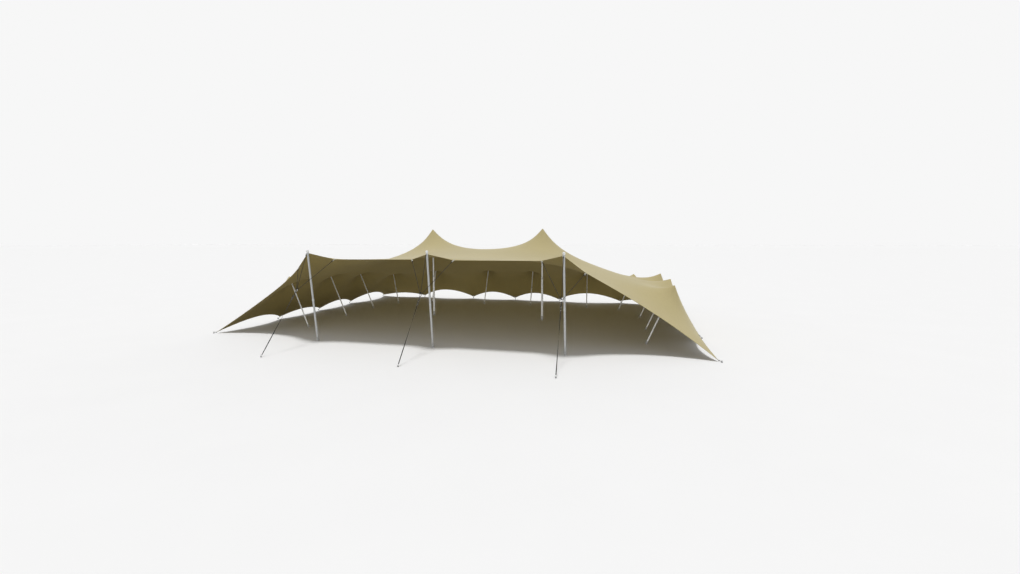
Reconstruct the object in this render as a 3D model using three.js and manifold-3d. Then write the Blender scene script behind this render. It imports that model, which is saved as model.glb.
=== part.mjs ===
// Stretch tent: one stretch fabric canopy over two king poles, three front poles and twelve
// short side and back poles, held down by three front guys and fifteen hem pegs.
// Millimetres. +X to the right seen from the open front, +Y to the back, +Z up.
// The ground is z = 0 and the middle front pole stands at x = 0, y = 0.

import * as THREE from 'three';
import { mergeVertices } from 'three/addons/utils/BufferGeometryUtils.js';
import Module from 'manifold-3d';

const wasm = await Module();
wasm.setup();

// Gaps and thicknesses
const SEAT_GAP = 0.3;
const SEAT_HALVINGS = 16;
const FABRIC_THICKNESS = 14;

// Facets round a pole, a rope or peg, and a small ball
const POLE_SIDES = 16;
const ROPE_SIDES = 8;
const PEG_SIDES = 10;
const BALL_SIDES = 12;
const RING_SIDES = 12;
const RING_STEPS = 32;
const OUTLINE_STEPS = 5;

// Poles: radii and ends. A front pole has a round cap, the others a tapered head.
const FRONT_POLE_RADIUS = 32;
const KING_POLE_RADIUS = 42;
const SHORT_POLE_RADIUS = 24;
const FRONT_HEAD_RADIUS = 42;
const KING_TIP_RADIUS = 20;
const KING_TAPER = 90;
const SHORT_TIP_RADIUS = 13;
const SHORT_TAPER = 45;
const FOOT_FLARE = 1.4;
const FOOT_SINK = 0.5;
const HOOK_RADIUS = 14;
const HOOK_WIRE_RADIUS = 10;
const HOOK_SHARE = 0.03;
const HEAD_APPROACH = 400;

// Front poles: the feet [x, y], and the middle of each cap
const FRONT_POLE_FEET = { left: [-4110, 0], middle: [-20, 20], right: [4100, 10] };
const FRONT_POLE_TOPS = { left: [-4050, -400, 2970], middle: [20, -400, 2970], right: [4080, -400, 2950] };

// Poles under the canopy: foot [x, y], the peak over the head [x, y, z],
// and where that peak lies on the flat cloth [across, along]
const KING_POLES = {
  left: { foot: [-2450, 5850], peak: [-2450, 5850, 3790], cloth: [-2430, 6470] },
  right: { foot: [2450, 5700], peak: [2450, 5700, 3790], cloth: [2830, 6470] },
};
const SHORT_POLES = {
  left_1: { foot: [-6030, 2060], peak: [-6800, 2060, 1930], cloth: [-7680, 2160] },
  left_2: { foot: [-6140, 4750], peak: [-6950, 4760, 1920], cloth: [-7680, 5180] },
  left_3: { foot: [-6260, 7240], peak: [-7090, 7330, 1900], cloth: [-7680, 8190] },
  left_4: { foot: [-5930, 9220], peak: [-6640, 9940, 1810], cloth: [-7280, 11640] },
  right_1: { foot: [6460, 2060], peak: [7270, 2150, 1900], cloth: [8090, 2590] },
  right_2: { foot: [6570, 4600], peak: [7390, 4670, 1900], cloth: [8090, 4740] },
  right_3: { foot: [6450, 7340], peak: [7260, 7400, 1910], cloth: [8090, 8190] },
  right_4: { foot: [5540, 9290], peak: [6230, 10020, 1690], cloth: [7280, 11210] },
  back_1: { foot: [-4200, 9700], peak: [-4330, 10630, 1850], cloth: [-4450, 12510] },
  back_2: { foot: [-1360, 9970], peak: [-1340, 10770, 1915], cloth: [-1210, 12940] },
  back_3: { foot: [1110, 10020], peak: [1090, 10840, 1905], cloth: [1210, 12940] },
  back_4: { foot: [3990, 9830], peak: [3940, 10770, 1850], cloth: [4450, 12510] },
};

// Flat cloth: half its width, its depth, and the grid that it is solved on
const CLOTH_HALF_WIDTH = 9300;
const CLOTH_DEPTH = 13800;
const COLUMNS = 46;
const ROWS = 32;

// Pulls in the cloth's edges and round the pole heads, beside 1 in the open fabric
const FRONT_EDGE_PULL = 200;
const WING_EDGE_PULL = 8.8;
const WING_START = 4700;
const HEM_PULL = 8;
const KING_HEAD_PULL = 2.8;
const SHORT_HEAD_PULL = 2.5;

// The cloth starts flat at this height and size, and settles in this many rounds
const START_HEIGHT = 1500;
const START_SHARE = 0.9;
const SETTLE_ROUNDS = 900;
const SETTLE_SHARE = 1.85;

// Where the cloth is held: [across, along] on the flat cloth, then [x, y, z] in space
const FRONT_EDGE_HELD = { left: [-4130, -290, 2910], middle: [-20, -290, 2900], right: [4050, -290, 2880] };
const FRONT_HOLDS = {
  left_ear_left: { cloth: [-4900, 0], at: [-4740, 0, 2400] },
  left_pole: { cloth: [-4100, 0], at: FRONT_EDGE_HELD.left },
  left_ear_right: { cloth: [-3300, 0], at: [-3370, 0, 2700] },
  middle_ear_left: { cloth: [-800, 0], at: [-660, 0, 2720] },
  middle_pole: { cloth: [0, 0], at: FRONT_EDGE_HELD.middle },
  middle_ear_right: { cloth: [800, 0], at: [700, 0, 2710] },
  right_ear_left: { cloth: [3300, 0], at: [3390, 0, 2720] },
  right_pole: { cloth: [4100, 0], at: FRONT_EDGE_HELD.right },
  right_ear_right: { cloth: [4900, 0], at: [4660, 0, 2390] },
};
const HEM_HOLDS = {
  front_left: { cloth: [-CLOTH_HALF_WIDTH, 0], at: [-8430, 220, 40] },
  front_right: { cloth: [CLOTH_HALF_WIDTH, 0], at: [8270, 240, 40] },
  left_1: { cloth: [-CLOTH_HALF_WIDTH, 3500], at: [-8390, 3330, 100] },
  left_2: { cloth: [-CLOTH_HALF_WIDTH, 6200], at: [-8310, 5880, 100] },
  left_3: { cloth: [-CLOTH_HALF_WIDTH, 9100], at: [-8350, 8500, 100] },
  back_left: { cloth: [-CLOTH_HALF_WIDTH, CLOTH_DEPTH], at: [-8300, 11900, 60] },
  back_1: { cloth: [-6000, CLOTH_DEPTH], at: [-5600, 11950, 100] },
  back_2: { cloth: [-2600, CLOTH_DEPTH], at: [-2600, 11950, 100] },
  back_3: { cloth: [0, CLOTH_DEPTH], at: [-150, 11980, 100] },
  back_4: { cloth: [2500, CLOTH_DEPTH], at: [2350, 11850, 100] },
  back_5: { cloth: [6000, CLOTH_DEPTH], at: [5600, 11950, 100] },
  back_right: { cloth: [CLOTH_HALF_WIDTH, CLOTH_DEPTH], at: [8300, 11900, 60] },
  right_3: { cloth: [CLOTH_HALF_WIDTH, 9100], at: [8300, 8500, 100] },
  right_2: { cloth: [CLOTH_HALF_WIDTH, 6200], at: [8300, 5880, 100] },
  right_1: { cloth: [CLOTH_HALF_WIDTH, 3500], at: [8250, 3350, 100] },
};

// Front guys: the ring where three ropes meet, and the peg of each
const GUY_RINGS = { left: [-4120, -900, 1770], middle: [20, -900, 1740], right: [4090, -900, 1700] };
const GUY_PEGS = { left: [-4270, -2300], middle: [-20, -2290], right: [4150, -2300] };
const ROPE_RADIUS = 7;
const ROPE_END_RADIUS = 16;
const RING_RADIUS = 34;
const RING_WIRE_RADIUS = 7;
const STRAP_WIDTH = 25;
const STRAP_THICKNESS = 5;
const STRAP_END_RADIUS = 10;
const BUCKLE_WIDTH = 46;
const BUCKLE_THICKNESS = 30;
const BUCKLE_FROM = 180;
const BUCKLE_TO = 330;

// Pegs
const PEG_RADIUS = 12;
const PEG_HEIGHT = 48;
const PEG_HEAD_RADIUS = 26;
const PEG_REACH = 90;
const TENT_MIDDLE = new THREE.Vector3(0, 5900, 0);
const TIE_RADIUS = 6;
const TIE_END_RADIUS = 12;

// Colours
const FABRIC_COLOUR = 0xc8b98d;
const POLE_COLOUR = 0xb5b9b8;
const ROPE_COLOUR = 0x1c1c1e;
const PEG_COLOUR = 0x8a8d90;

const vector = (list) => new THREE.Vector3(list[0], list[1], list[2] ?? 0);

// Solids: joining and cutting
function toSolid(geometry) {
  const plain = geometry.clone();
  plain.deleteAttribute('normal');
  plain.deleteAttribute('uv');
  const merged = mergeVertices(plain, 1e-3);
  return new wasm.Manifold(new wasm.Mesh({
    numProp: 3,
    vertProperties: new Float32Array(merged.attributes.position.array),
    triVerts: new Uint32Array(merged.index.array),
  }));
}

function toGeometry(solid) {
  const mesh = solid.getMesh();
  const geometry = new THREE.BufferGeometry();
  geometry.setAttribute('position', new THREE.BufferAttribute(new Float32Array(mesh.vertProperties), 3));
  geometry.setIndex(new THREE.BufferAttribute(new Uint32Array(mesh.triVerts), 1));
  return geometry;
}

function join(...geometries) {
  return toGeometry(geometries.map(toSolid).reduce((whole, piece) => whole.add(piece)));
}

// Everything below the ground is cut off flat
function cutAtGround(geometry) {
  const deep = 2000;
  const wide = 40000;
  const below = new THREE.BoxGeometry(wide, wide, deep);
  below.translate(0, 0, -deep / 2);
  return toGeometry(toSolid(geometry).subtract(toSolid(below)));
}

// A round bar from one point to another
function bar(from, to, radius, sides) {
  const along = to.clone().sub(from);
  const geometry = new THREE.CylinderGeometry(radius, radius, along.length(), sides);
  const turn = new THREE.Quaternion().setFromUnitVectors(new THREE.Vector3(0, 1, 0), along.normalize());
  geometry.applyQuaternion(turn);
  geometry.translate((from.x + to.x) / 2, (from.y + to.y) / 2, (from.z + to.z) / 2);
  return geometry;
}

// A ball whose tip points towards a goal, so that it meets the goal exactly
function ball(centre, radius, sides, goal) {
  const geometry = new THREE.SphereGeometry(radius, sides, sides / 2);
  if (goal) {
    const direction = goal.clone().sub(centre).normalize();
    const turn = new THREE.Quaternion().setFromUnitVectors(new THREE.Vector3(0, 1, 0), direction);
    geometry.applyQuaternion(turn);
  }
  geometry.translate(centre.x, centre.y, centre.z);
  return geometry;
}

// The canopy's shape: each free node of the cloth settles between its neighbours
const clothStep = { across: (2 * CLOTH_HALF_WIDTH) / COLUMNS, along: CLOTH_DEPTH / ROWS };

function nodeNumber(column, row) {
  return row * (COLUMNS + 1) + column;
}

function nodeAt(cloth) {
  const column = Math.round((cloth[0] + CLOTH_HALF_WIDTH) / clothStep.across);
  const row = Math.round(cloth[1] / clothStep.along);
  return nodeNumber(column, row);
}

const kingPeaks = Object.values(KING_POLES).map(({ cloth, peak }) => ({ cloth, at: peak }));
const shortPeaks = Object.values(SHORT_POLES).map(({ cloth, peak }) => ({ cloth, at: peak }));
const headPulls = new Map([
  ...kingPeaks.map(({ cloth }) => [nodeAt(cloth), KING_HEAD_PULL]),
  ...shortPeaks.map(({ cloth }) => [nodeAt(cloth), SHORT_HEAD_PULL]),
]);

// How hard the fabric pulls between a node and its neighbours: edges are cords,
// and round a pole's head the fabric is stretched hardest
function neighbours(column, row) {
  const across = column * clothStep.across - CLOTH_HALF_WIDTH;
  const onCrossEdge = row === 0 || row === ROWS;
  const onSideHem = column === 0 || column === COLUMNS;
  const headPull = (node) => headPulls.get(node) ?? 1;
  const edgePull = (side) => {
    if (row === ROWS) return HEM_PULL;
    const middle = Math.abs(across + (side * clothStep.across) / 2);
    return middle > WING_START ? WING_EDGE_PULL : FRONT_EDGE_PULL;
  };
  const acrossPull = (side) => (onCrossEdge ? edgePull(side) : clothStep.along / clothStep.across);
  const alongPull = onSideHem ? HEM_PULL : clothStep.across / clothStep.along;
  const here = headPull(nodeNumber(column, row));
  const list = [];
  const add = (toColumn, toRow, pull) => {
    if (toColumn < 0 || toColumn > COLUMNS || toRow < 0 || toRow > ROWS) return;
    const node = nodeNumber(toColumn, toRow);
    list.push({ node, pull: pull * Math.max(here, headPull(node)) });
  };
  add(column - 1, row, acrossPull(-1));
  add(column + 1, row, acrossPull(1));
  add(column, row - 1, alongPull);
  add(column, row + 1, alongPull);
  return list;
}

function solveCloth() {
  const nodes = [];
  for (let row = 0; row <= ROWS; row += 1) {
    for (let column = 0; column <= COLUMNS; column += 1) {
      const across = column * clothStep.across - CLOTH_HALF_WIDTH;
      const along = row * clothStep.along;
      const at = new THREE.Vector3(across * START_SHARE, along * START_SHARE, START_HEIGHT);
      nodes.push({ at, held: false, column, row });
    }
  }
  const edgeHolds = [...Object.values(FRONT_HOLDS), ...Object.values(HEM_HOLDS)];
  for (const { cloth, at } of [...edgeHolds, ...kingPeaks, ...shortPeaks]) {
    const node = nodes[nodeAt(cloth)];
    node.at.copy(vector(at));
    node.held = true;
  }
  const free = nodes.filter((node) => !node.held);
  for (const node of free) node.pulls = neighbours(node.column, node.row);
  const target = new THREE.Vector3();
  for (let round = 0; round < SETTLE_ROUNDS; round += 1) {
    for (const node of free) {
      target.set(0, 0, 0);
      let total = 0;
      for (const { node: other, pull } of node.pulls) {
        target.addScaledVector(nodes[other].at, pull);
        total += pull;
      }
      target.divideScalar(total).sub(node.at);
      node.at.addScaledVector(target, SETTLE_SHARE);
    }
  }
  return nodes.map((node) => node.at);
}

// The canopy as one thin closed solid round the solved surface
function surfaceTriangles(points) {
  const triangles = [];
  for (let row = 0; row < ROWS; row += 1) {
    for (let column = 0; column < COLUMNS; column += 1) {
      const a = row * (COLUMNS + 1) + column;
      const b = a + 1;
      const c = b + COLUMNS + 1;
      const d = a + COLUMNS + 1;
      const shortAC = points[a].distanceTo(points[c]) <= points[b].distanceTo(points[d]);
      if (shortAC) triangles.push([a, b, c], [a, c, d]);
      else triangles.push([a, b, d], [b, c, d]);
    }
  }
  return triangles;
}

function surfaceNormals(points, triangles) {
  const normals = points.map(() => new THREE.Vector3());
  for (const [a, b, c] of triangles) {
    const first = points[b].clone().sub(points[a]);
    const second = points[c].clone().sub(points[a]);
    const normal = first.cross(second).normalize();
    normals[a].add(normal);
    normals[b].add(normal);
    normals[c].add(normal);
  }
  return normals.map((normal) => normal.normalize());
}

function rimNodes() {
  const rim = [];
  for (let column = 0; column < COLUMNS; column += 1) rim.push(column);
  for (let row = 0; row < ROWS; row += 1) rim.push(row * (COLUMNS + 1) + COLUMNS);
  for (let column = COLUMNS; column > 0; column -= 1) rim.push(ROWS * (COLUMNS + 1) + column);
  for (let row = ROWS; row > 0; row -= 1) rim.push(row * (COLUMNS + 1));
  return rim;
}

const clothPoints = solveCloth();
const clothTriangles = surfaceTriangles(clothPoints);
const clothNormals = surfaceNormals(clothPoints, clothTriangles);

function canopyGeometry(points, triangles, normals) {
  const half = FABRIC_THICKNESS / 2;
  const positions = [];
  for (const side of [half, -half]) {
    points.forEach((point, index) => {
      const moved = point.clone().addScaledVector(normals[index], side);
      positions.push(moved.x, moved.y, moved.z);
    });
  }
  const under = points.length;
  const index = [];
  for (const [a, b, c] of triangles) index.push(a, b, c, under + a, under + c, under + b);
  const rim = rimNodes();
  rim.forEach((node, place) => {
    const next = rim[(place + 1) % rim.length];
    index.push(node, under + node, under + next, node, under + next, next);
  });
  const geometry = new THREE.BufferGeometry();
  geometry.setAttribute('position', new THREE.Float32BufferAttribute(positions, 3));
  geometry.setIndex(index);
  return geometry;
}

// How near a point comes to a surface
function distanceTo(geometry, point) {
  const { position } = geometry.attributes;
  const triangle = new THREE.Triangle();
  const near = new THREE.Vector3();
  let least = Infinity;
  for (let face = 0; face < geometry.index.count; face += 3) {
    const [a, b, c] = [0, 1, 2].map((corner) => geometry.index.getX(face + corner));
    triangle.setFromAttributeAndIndices(position, a, b, c);
    triangle.closestPointToPoint(point, near);
    least = Math.min(least, near.distanceTo(point));
  }
  return least;
}

// The last place on the way from a clear point towards a goal that is still clear
function lastClear(clear, goal, isClear) {
  let open = 0;
  let shut = 1;
  const place = (share) => clear.clone().lerp(goal, share);
  for (let halving = 0; halving < SEAT_HALVINGS; halving += 1) {
    const middle = (open + shut) / 2;
    if (isClear(place(middle))) open = middle;
    else shut = middle;
  }
  return place(open);
}

// The place on that way where a ball just meets the surface
function seat(geometry, clear, goal, radius) {
  return lastClear(clear, goal, (place) => distanceTo(geometry, place) > radius + SEAT_GAP);
}

const canopy = canopyGeometry(clothPoints, clothTriangles, clothNormals);

// Part of a ball's outline, as [distance out, height], between two angles from its lowest point
function ballOutline(centre, radius, fromAngle, toAngle) {
  const outline = [];
  for (let step = 0; step <= OUTLINE_STEPS; step += 1) {
    const angle = fromAngle + ((toAngle - fromAngle) * step) / OUTLINE_STEPS;
    outline.push(new THREE.Vector2(radius * Math.sin(angle), centre - radius * Math.cos(angle)));
  }
  return outline;
}

// A tube on a round rubber foot that is flat on the ground. The head's outline is added
// above the tube's length, and the whole is turned to point from the foot to the head.
function poleSolid(foot, head, radius, headOutline) {
  const footRadius = radius * FOOT_FLARE;
  const base = vector(foot).setZ(footRadius * FOOT_SINK);
  const along = head.clone().sub(base);
  const neckAngle = Math.asin(radius / footRadius);
  const outline = [
    ...ballOutline(0, footRadius, 0, Math.PI - neckAngle),
    ...headOutline(along.length()),
  ];
  outline[0].x = 0;
  outline.at(-1).x = 0;
  const geometry = new THREE.LatheGeometry(outline, POLE_SIDES);
  const turn = new THREE.Quaternion().setFromUnitVectors(new THREE.Vector3(0, 1, 0), along.normalize());
  geometry.applyQuaternion(turn);
  geometry.translate(base.x, base.y, base.z);
  return cutAtGround(geometry);
}

// A pole under a peak of the canopy. Its head tapers to a round tip, which comes up inside
// the peak until the tip or the shoulder below it meets the fabric.
function pole({ foot, peak, cloth }, radius, tipRadius, taper) {
  const goal = vector(peak);
  const ground = vector(foot);
  const inside = goal.clone().addScaledVector(clothNormals[nodeAt(cloth)], -HEAD_APPROACH);
  const shoulderBelow = (tip) => tip.clone().addScaledVector(ground.clone().sub(tip).normalize(), taper);
  const tip = lastClear(inside, goal, (place) => distanceTo(canopy, place) > tipRadius + SEAT_GAP
    && distanceTo(canopy, shoulderBelow(place)) > radius + SEAT_GAP);
  const tipAngle = Math.PI / 2 + Math.asin((radius - tipRadius) / taper);
  return poleSolid(foot, tip, radius, (length) => [
    new THREE.Vector2(radius, length - taper),
    ...ballOutline(length, tipRadius, tipAngle, Math.PI),
  ]);
}

// A front pole with the hook behind its head that holds the fabric's edge
function frontPole(side) {
  const top = vector(FRONT_POLE_TOPS[side]);
  const neckAngle = Math.asin(FRONT_POLE_RADIUS / FRONT_HEAD_RADIUS);
  const cap = (length) => ballOutline(length, FRONT_HEAD_RADIUS, neckAngle, Math.PI);
  const shaft = poleSolid(FRONT_POLE_FEET[side], top, FRONT_POLE_RADIUS, cap);
  const edge = vector(FRONT_EDGE_HELD[side]);
  const start = top.clone().lerp(vector(FRONT_POLE_FEET[side]), HOOK_SHARE);
  const end = seat(canopy, start, edge, HOOK_RADIUS);
  return join(shaft, bar(start, end, HOOK_WIRE_RADIUS, PEG_SIDES), ball(end, HOOK_RADIUS, PEG_SIDES, edge));
}

// Ground pegs: a steel shank with a round cap
function peg(foot, tieGoal) {
  const base = vector(foot).setZ(0);
  const top = base.clone().setZ(PEG_HEIGHT);
  const shank = bar(base, top, PEG_RADIUS, PEG_SIDES);
  const cap = ball(top, PEG_HEAD_RADIUS, BALL_SIDES);
  if (!tieGoal) return join(shank, cap);
  const start = base.clone().setZ(PEG_HEIGHT / 2);
  const end = seat(canopy, start, tieGoal, TIE_END_RADIUS);
  const tie = bar(start, end, TIE_RADIUS, ROPE_SIDES);
  return join(shank, cap, tie, ball(end, TIE_END_RADIUS, PEG_SIDES, tieGoal));
}

const group = new THREE.Group();
group.name = 'stretch_tent';

function addPiece(name, geometry, colour) {
  const material = new THREE.MeshStandardMaterial({ color: colour, roughness: 0.6 });
  const mesh = new THREE.Mesh(geometry, material);
  mesh.name = name;
  group.add(mesh);
}

addPiece('canopy', canopy, FABRIC_COLOUR);
for (const [name, place] of Object.entries(KING_POLES)) {
  addPiece(`king_pole_${name}`, pole(place, KING_POLE_RADIUS, KING_TIP_RADIUS, KING_TAPER), POLE_COLOUR);
}
for (const [name, place] of Object.entries(SHORT_POLES)) {
  addPiece(`pole_${name}`, pole(place, SHORT_POLE_RADIUS, SHORT_TIP_RADIUS, SHORT_TAPER), POLE_COLOUR);
}

// Turns local Y along a direction and keeps local X level
function turnAlong(direction) {
  const level = new THREE.Vector3(1, 0, 0);
  const out = new THREE.Vector3().crossVectors(level, direction).normalize();
  const sideways = new THREE.Vector3().crossVectors(direction, out);
  return new THREE.Matrix4().makeBasis(sideways, direction, out);
}

// Flat webbing from one point to another, its broad side facing the front
function flatStrap(from, to, width, thickness) {
  const along = to.clone().sub(from);
  const geometry = new THREE.BoxGeometry(width, along.length(), thickness);
  geometry.applyMatrix4(turnAlong(along.clone().normalize()));
  geometry.translate((from.x + to.x) / 2, (from.y + to.y) / 2, (from.z + to.z) / 2);
  return geometry;
}

// The webbing between a guy's ring and its peg, with the ring and the ratchet buckle on it
function guyStrap(centre, stake, pegMiddle) {
  const down = pegMiddle.clone().sub(centre).normalize();
  const ring = new THREE.TorusGeometry(RING_RADIUS, RING_WIRE_RADIUS, RING_SIDES, RING_STEPS);
  ring.applyMatrix4(turnAlong(down));
  ring.translate(centre.x, centre.y, centre.z);
  const alongGuy = (distance) => centre.clone().addScaledVector(down, distance);
  const strapEnd = seat(stake, alongGuy(BUCKLE_TO), pegMiddle, STRAP_END_RADIUS);
  const strap = flatStrap(alongGuy(RING_RADIUS), strapEnd, STRAP_WIDTH, STRAP_THICKNESS);
  const buckle = flatStrap(alongGuy(BUCKLE_FROM), alongGuy(BUCKLE_TO), BUCKLE_WIDTH, BUCKLE_THICKNESS);
  const end = ball(strapEnd, STRAP_END_RADIUS, BALL_SIDES, pegMiddle);
  return { ring, whole: join(ring, strap, buckle, end) };
}

// A taut rope from a guy's ring to a place on the tent, with a knot at each end
function guyRope(centre, ring, surface, goal) {
  const middle = centre.clone().lerp(goal, 0.5);
  const upper = seat(surface, middle, goal, ROPE_END_RADIUS);
  const lower = seat(ring, middle, centre, ROPE_END_RADIUS);
  return join(
    bar(upper, lower, ROPE_RADIUS, ROPE_SIDES),
    ball(upper, ROPE_END_RADIUS, BALL_SIDES, goal),
    ball(lower, ROPE_END_RADIUS, BALL_SIDES, centre),
  );
}

// One front pole with its guy: peg, strap and three ropes
function addGuy(side) {
  const centre = vector(GUY_RINGS[side]);
  const front = frontPole(side);
  const stake = peg(GUY_PEGS[side]);
  const pegMiddle = vector(GUY_PEGS[side]).setZ(PEG_HEIGHT / 2);
  const { ring, whole } = guyStrap(centre, stake, pegMiddle);
  addPiece(`front_pole_${side}`, front, POLE_COLOUR);
  addPiece(`guy_peg_${side}`, stake, PEG_COLOUR);
  addPiece(`guy_strap_${side}`, whole, ROPE_COLOUR);
  const earLeft = vector(FRONT_HOLDS[`${side}_ear_left`].at);
  const earRight = vector(FRONT_HOLDS[`${side}_ear_right`].at);
  addPiece(`rope_${side}_top`, guyRope(centre, ring, front, vector(FRONT_POLE_TOPS[side])), ROPE_COLOUR);
  addPiece(`rope_${side}_ear_left`, guyRope(centre, ring, canopy, earLeft), ROPE_COLOUR);
  addPiece(`rope_${side}_ear_right`, guyRope(centre, ring, canopy, earRight), ROPE_COLOUR);
}

for (const side of Object.keys(GUY_RINGS)) addGuy(side);

// Hem pegs: each stands outside the canopy's low point, on the line away from the tent's middle
for (const [name, { at }] of Object.entries(HEM_HOLDS)) {
  const hold = vector(at);
  const ground = hold.clone().setZ(0);
  const away = ground.clone().sub(TENT_MIDDLE).normalize();
  addPiece(`hem_peg_${name}`, peg(ground.addScaledVector(away, PEG_REACH).toArray(), hold), PEG_COLOUR);
}

// The frame's origin is the middle of the footprint, on the ground
const footprint = new THREE.Box3().setFromObject(group);
const middle = footprint.getCenter(new THREE.Vector3());
for (const piece of group.children) piece.geometry.translate(-middle.x, -middle.y, 0);

export default group;
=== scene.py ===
# Looks of the stretch tent: fabric canopy, poles, guys and pegs, a pale floor and soft light.
# Metres. Plan coordinates have their origin at the middle front pole, as the part's source has,
# and place() moves them into the frame.

import math

import bpy
import numpy as np
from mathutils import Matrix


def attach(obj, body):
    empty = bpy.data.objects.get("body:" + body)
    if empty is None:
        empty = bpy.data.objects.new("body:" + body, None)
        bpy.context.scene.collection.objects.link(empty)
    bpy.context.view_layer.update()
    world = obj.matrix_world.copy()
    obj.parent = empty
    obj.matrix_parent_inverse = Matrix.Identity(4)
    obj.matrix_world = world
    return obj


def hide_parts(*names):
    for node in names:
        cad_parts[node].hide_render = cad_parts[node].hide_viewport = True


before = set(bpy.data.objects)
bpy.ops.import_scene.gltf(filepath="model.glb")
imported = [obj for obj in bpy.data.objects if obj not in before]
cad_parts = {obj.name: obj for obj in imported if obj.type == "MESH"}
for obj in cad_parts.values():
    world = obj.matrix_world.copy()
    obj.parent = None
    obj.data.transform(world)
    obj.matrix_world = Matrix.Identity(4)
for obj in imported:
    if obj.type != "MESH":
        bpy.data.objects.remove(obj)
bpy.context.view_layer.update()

# A solid's corners below this height are its base on the ground
GROUND_LIMIT = 1e-4
KING_LEFT_FOOT = np.array([-2.45, 5.85, 0.0])


def foot_of(node):
    """The middle of a CAD node's flat base on the ground."""
    points = np.array([v.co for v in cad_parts[node].data.vertices], float)
    base = points[points[:, 2] < GROUND_LIMIT]
    return (base.min(0) + base.max(0)) / 2


SHIFT = foot_of("king_pole_left") - KING_LEFT_FOOT


def place(point):
    """A point in plan coordinates, in the frame."""
    return np.array(point, float) + SHIFT


def add_object(name, data):
    thing = bpy.data.objects.new(name, data)
    bpy.context.scene.collection.objects.link(thing)
    return thing


# Camera: where the photograph was taken from
CAMERA_AT = (5.614, -13.004, 3.287)
CAMERA_YAW = 13.65
CAMERA_PITCH = 5.73
CAMERA_LENS = 16.136
CAMERA_SENSOR = 36.0
CAMERA_REACH = 1000.0


def add_camera():
    data = bpy.data.cameras.new("photo_camera")
    data.sensor_fit = "HORIZONTAL"
    data.sensor_width = CAMERA_SENSOR
    data.lens = CAMERA_LENS
    data.clip_end = CAMERA_REACH
    camera = add_object("photo_camera", data)
    camera.location = place(CAMERA_AT)
    camera.rotation_euler = (math.radians(90 - CAMERA_PITCH), 0, math.radians(CAMERA_YAW))
    bpy.context.scene.camera = camera


add_camera()

# Cloth: how far its own coordinates run, across and along, and the coarse grid that the solid
# canopy was settled on. They only say where on the cloth a point is.
CLOTH_HALF_WIDTH = 9.3
CLOTH_DEPTH = 13.8
COARSE_COLUMNS = 46
COARSE_ROWS = 32
STEP_ACROSS = 2 * CLOTH_HALF_WIDTH / COARSE_COLUMNS
STEP_ALONG = CLOTH_DEPTH / COARSE_ROWS

# Each coarse cell is divided further: evenly, or ever finer toward the line of a pole's head
EVEN_SHARES = (1 / 3, 2 / 3)
EDGE_SHARES = (0.2, 0.4, 0.7)
HEAD_SHARES = (0.07, 0.14, 0.22, 0.32, 0.44, 0.58, 0.77)

# Pulls in the cloth's edges, beside 1 in the open fabric, as in the solid canopy
FRONT_EDGE_PULL = 200
WING_EDGE_PULL = 8.8
WING_START = 4.7
HEM_PULL = 8

# Over a pole's head a disc of the cloth is held. The free cloth out to this many radii of the
# disc sets the angle at which it leaves the head.
HEAD_FIT_REACH = 1.25
FIRST_CAP_ANGLE = math.radians(55)
LEAST_CAP_ANGLE = math.radians(10)
FABRIC_THICKNESS = 0.003
HEAD_GAP = 0.001

# The cloth starts flat, at this share of its size and at this height, and settles until it is
# this calm
START_SHARE = 0.9
START_HEIGHT = 1.5
SOLVE_ROUNDS = 4000
SOLVE_LIMIT = 1e-8

# Where the cloth is held: (across, along) on the cloth, and (x, y, z) in the plan
PEAKS = {
    "king_pole_left": ((-2.43, 6.47), (-2.45, 5.85, 3.79)),
    "king_pole_right": ((2.83, 6.47), (2.45, 5.70, 3.79)),
    "pole_left_1": ((-7.68, 2.16), (-6.80, 2.06, 1.93)),
    "pole_left_2": ((-7.68, 5.18), (-6.95, 4.76, 1.92)),
    "pole_left_3": ((-7.68, 8.19), (-7.09, 7.33, 1.90)),
    "pole_left_4": ((-7.28, 11.64), (-6.64, 9.94, 1.81)),
    "pole_right_1": ((8.09, 2.59), (7.27, 2.15, 1.90)),
    "pole_right_2": ((8.09, 4.74), (7.39, 4.67, 1.90)),
    "pole_right_3": ((8.09, 8.19), (7.26, 7.40, 1.91)),
    "pole_right_4": ((7.28, 11.21), (6.23, 10.02, 1.69)),
    "pole_back_1": ((-4.45, 12.51), (-4.33, 10.63, 1.85)),
    "pole_back_2": ((-1.21, 12.94), (-1.34, 10.77, 1.915)),
    "pole_back_3": ((1.21, 12.94), (1.09, 10.84, 1.905)),
    "pole_back_4": ((4.45, 12.51), (3.94, 10.77, 1.85)),
}
FRONT_HOLDS = {
    "left_ear_left": ((-4.9, 0), (-4.74, 0, 2.40)),
    "left_pole": ((-4.1, 0), (-4.13, -0.29, 2.91)),
    "left_ear_right": ((-3.3, 0), (-3.37, 0, 2.70)),
    "middle_ear_left": ((-0.8, 0), (-0.66, 0, 2.72)),
    "middle_pole": ((0, 0), (-0.02, -0.29, 2.90)),
    "middle_ear_right": ((0.8, 0), (0.70, 0, 2.71)),
    "right_ear_left": ((3.3, 0), (3.39, 0, 2.72)),
    "right_pole": ((4.1, 0), (4.05, -0.29, 2.88)),
    "right_ear_right": ((4.9, 0), (4.66, 0, 2.39)),
}
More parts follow.
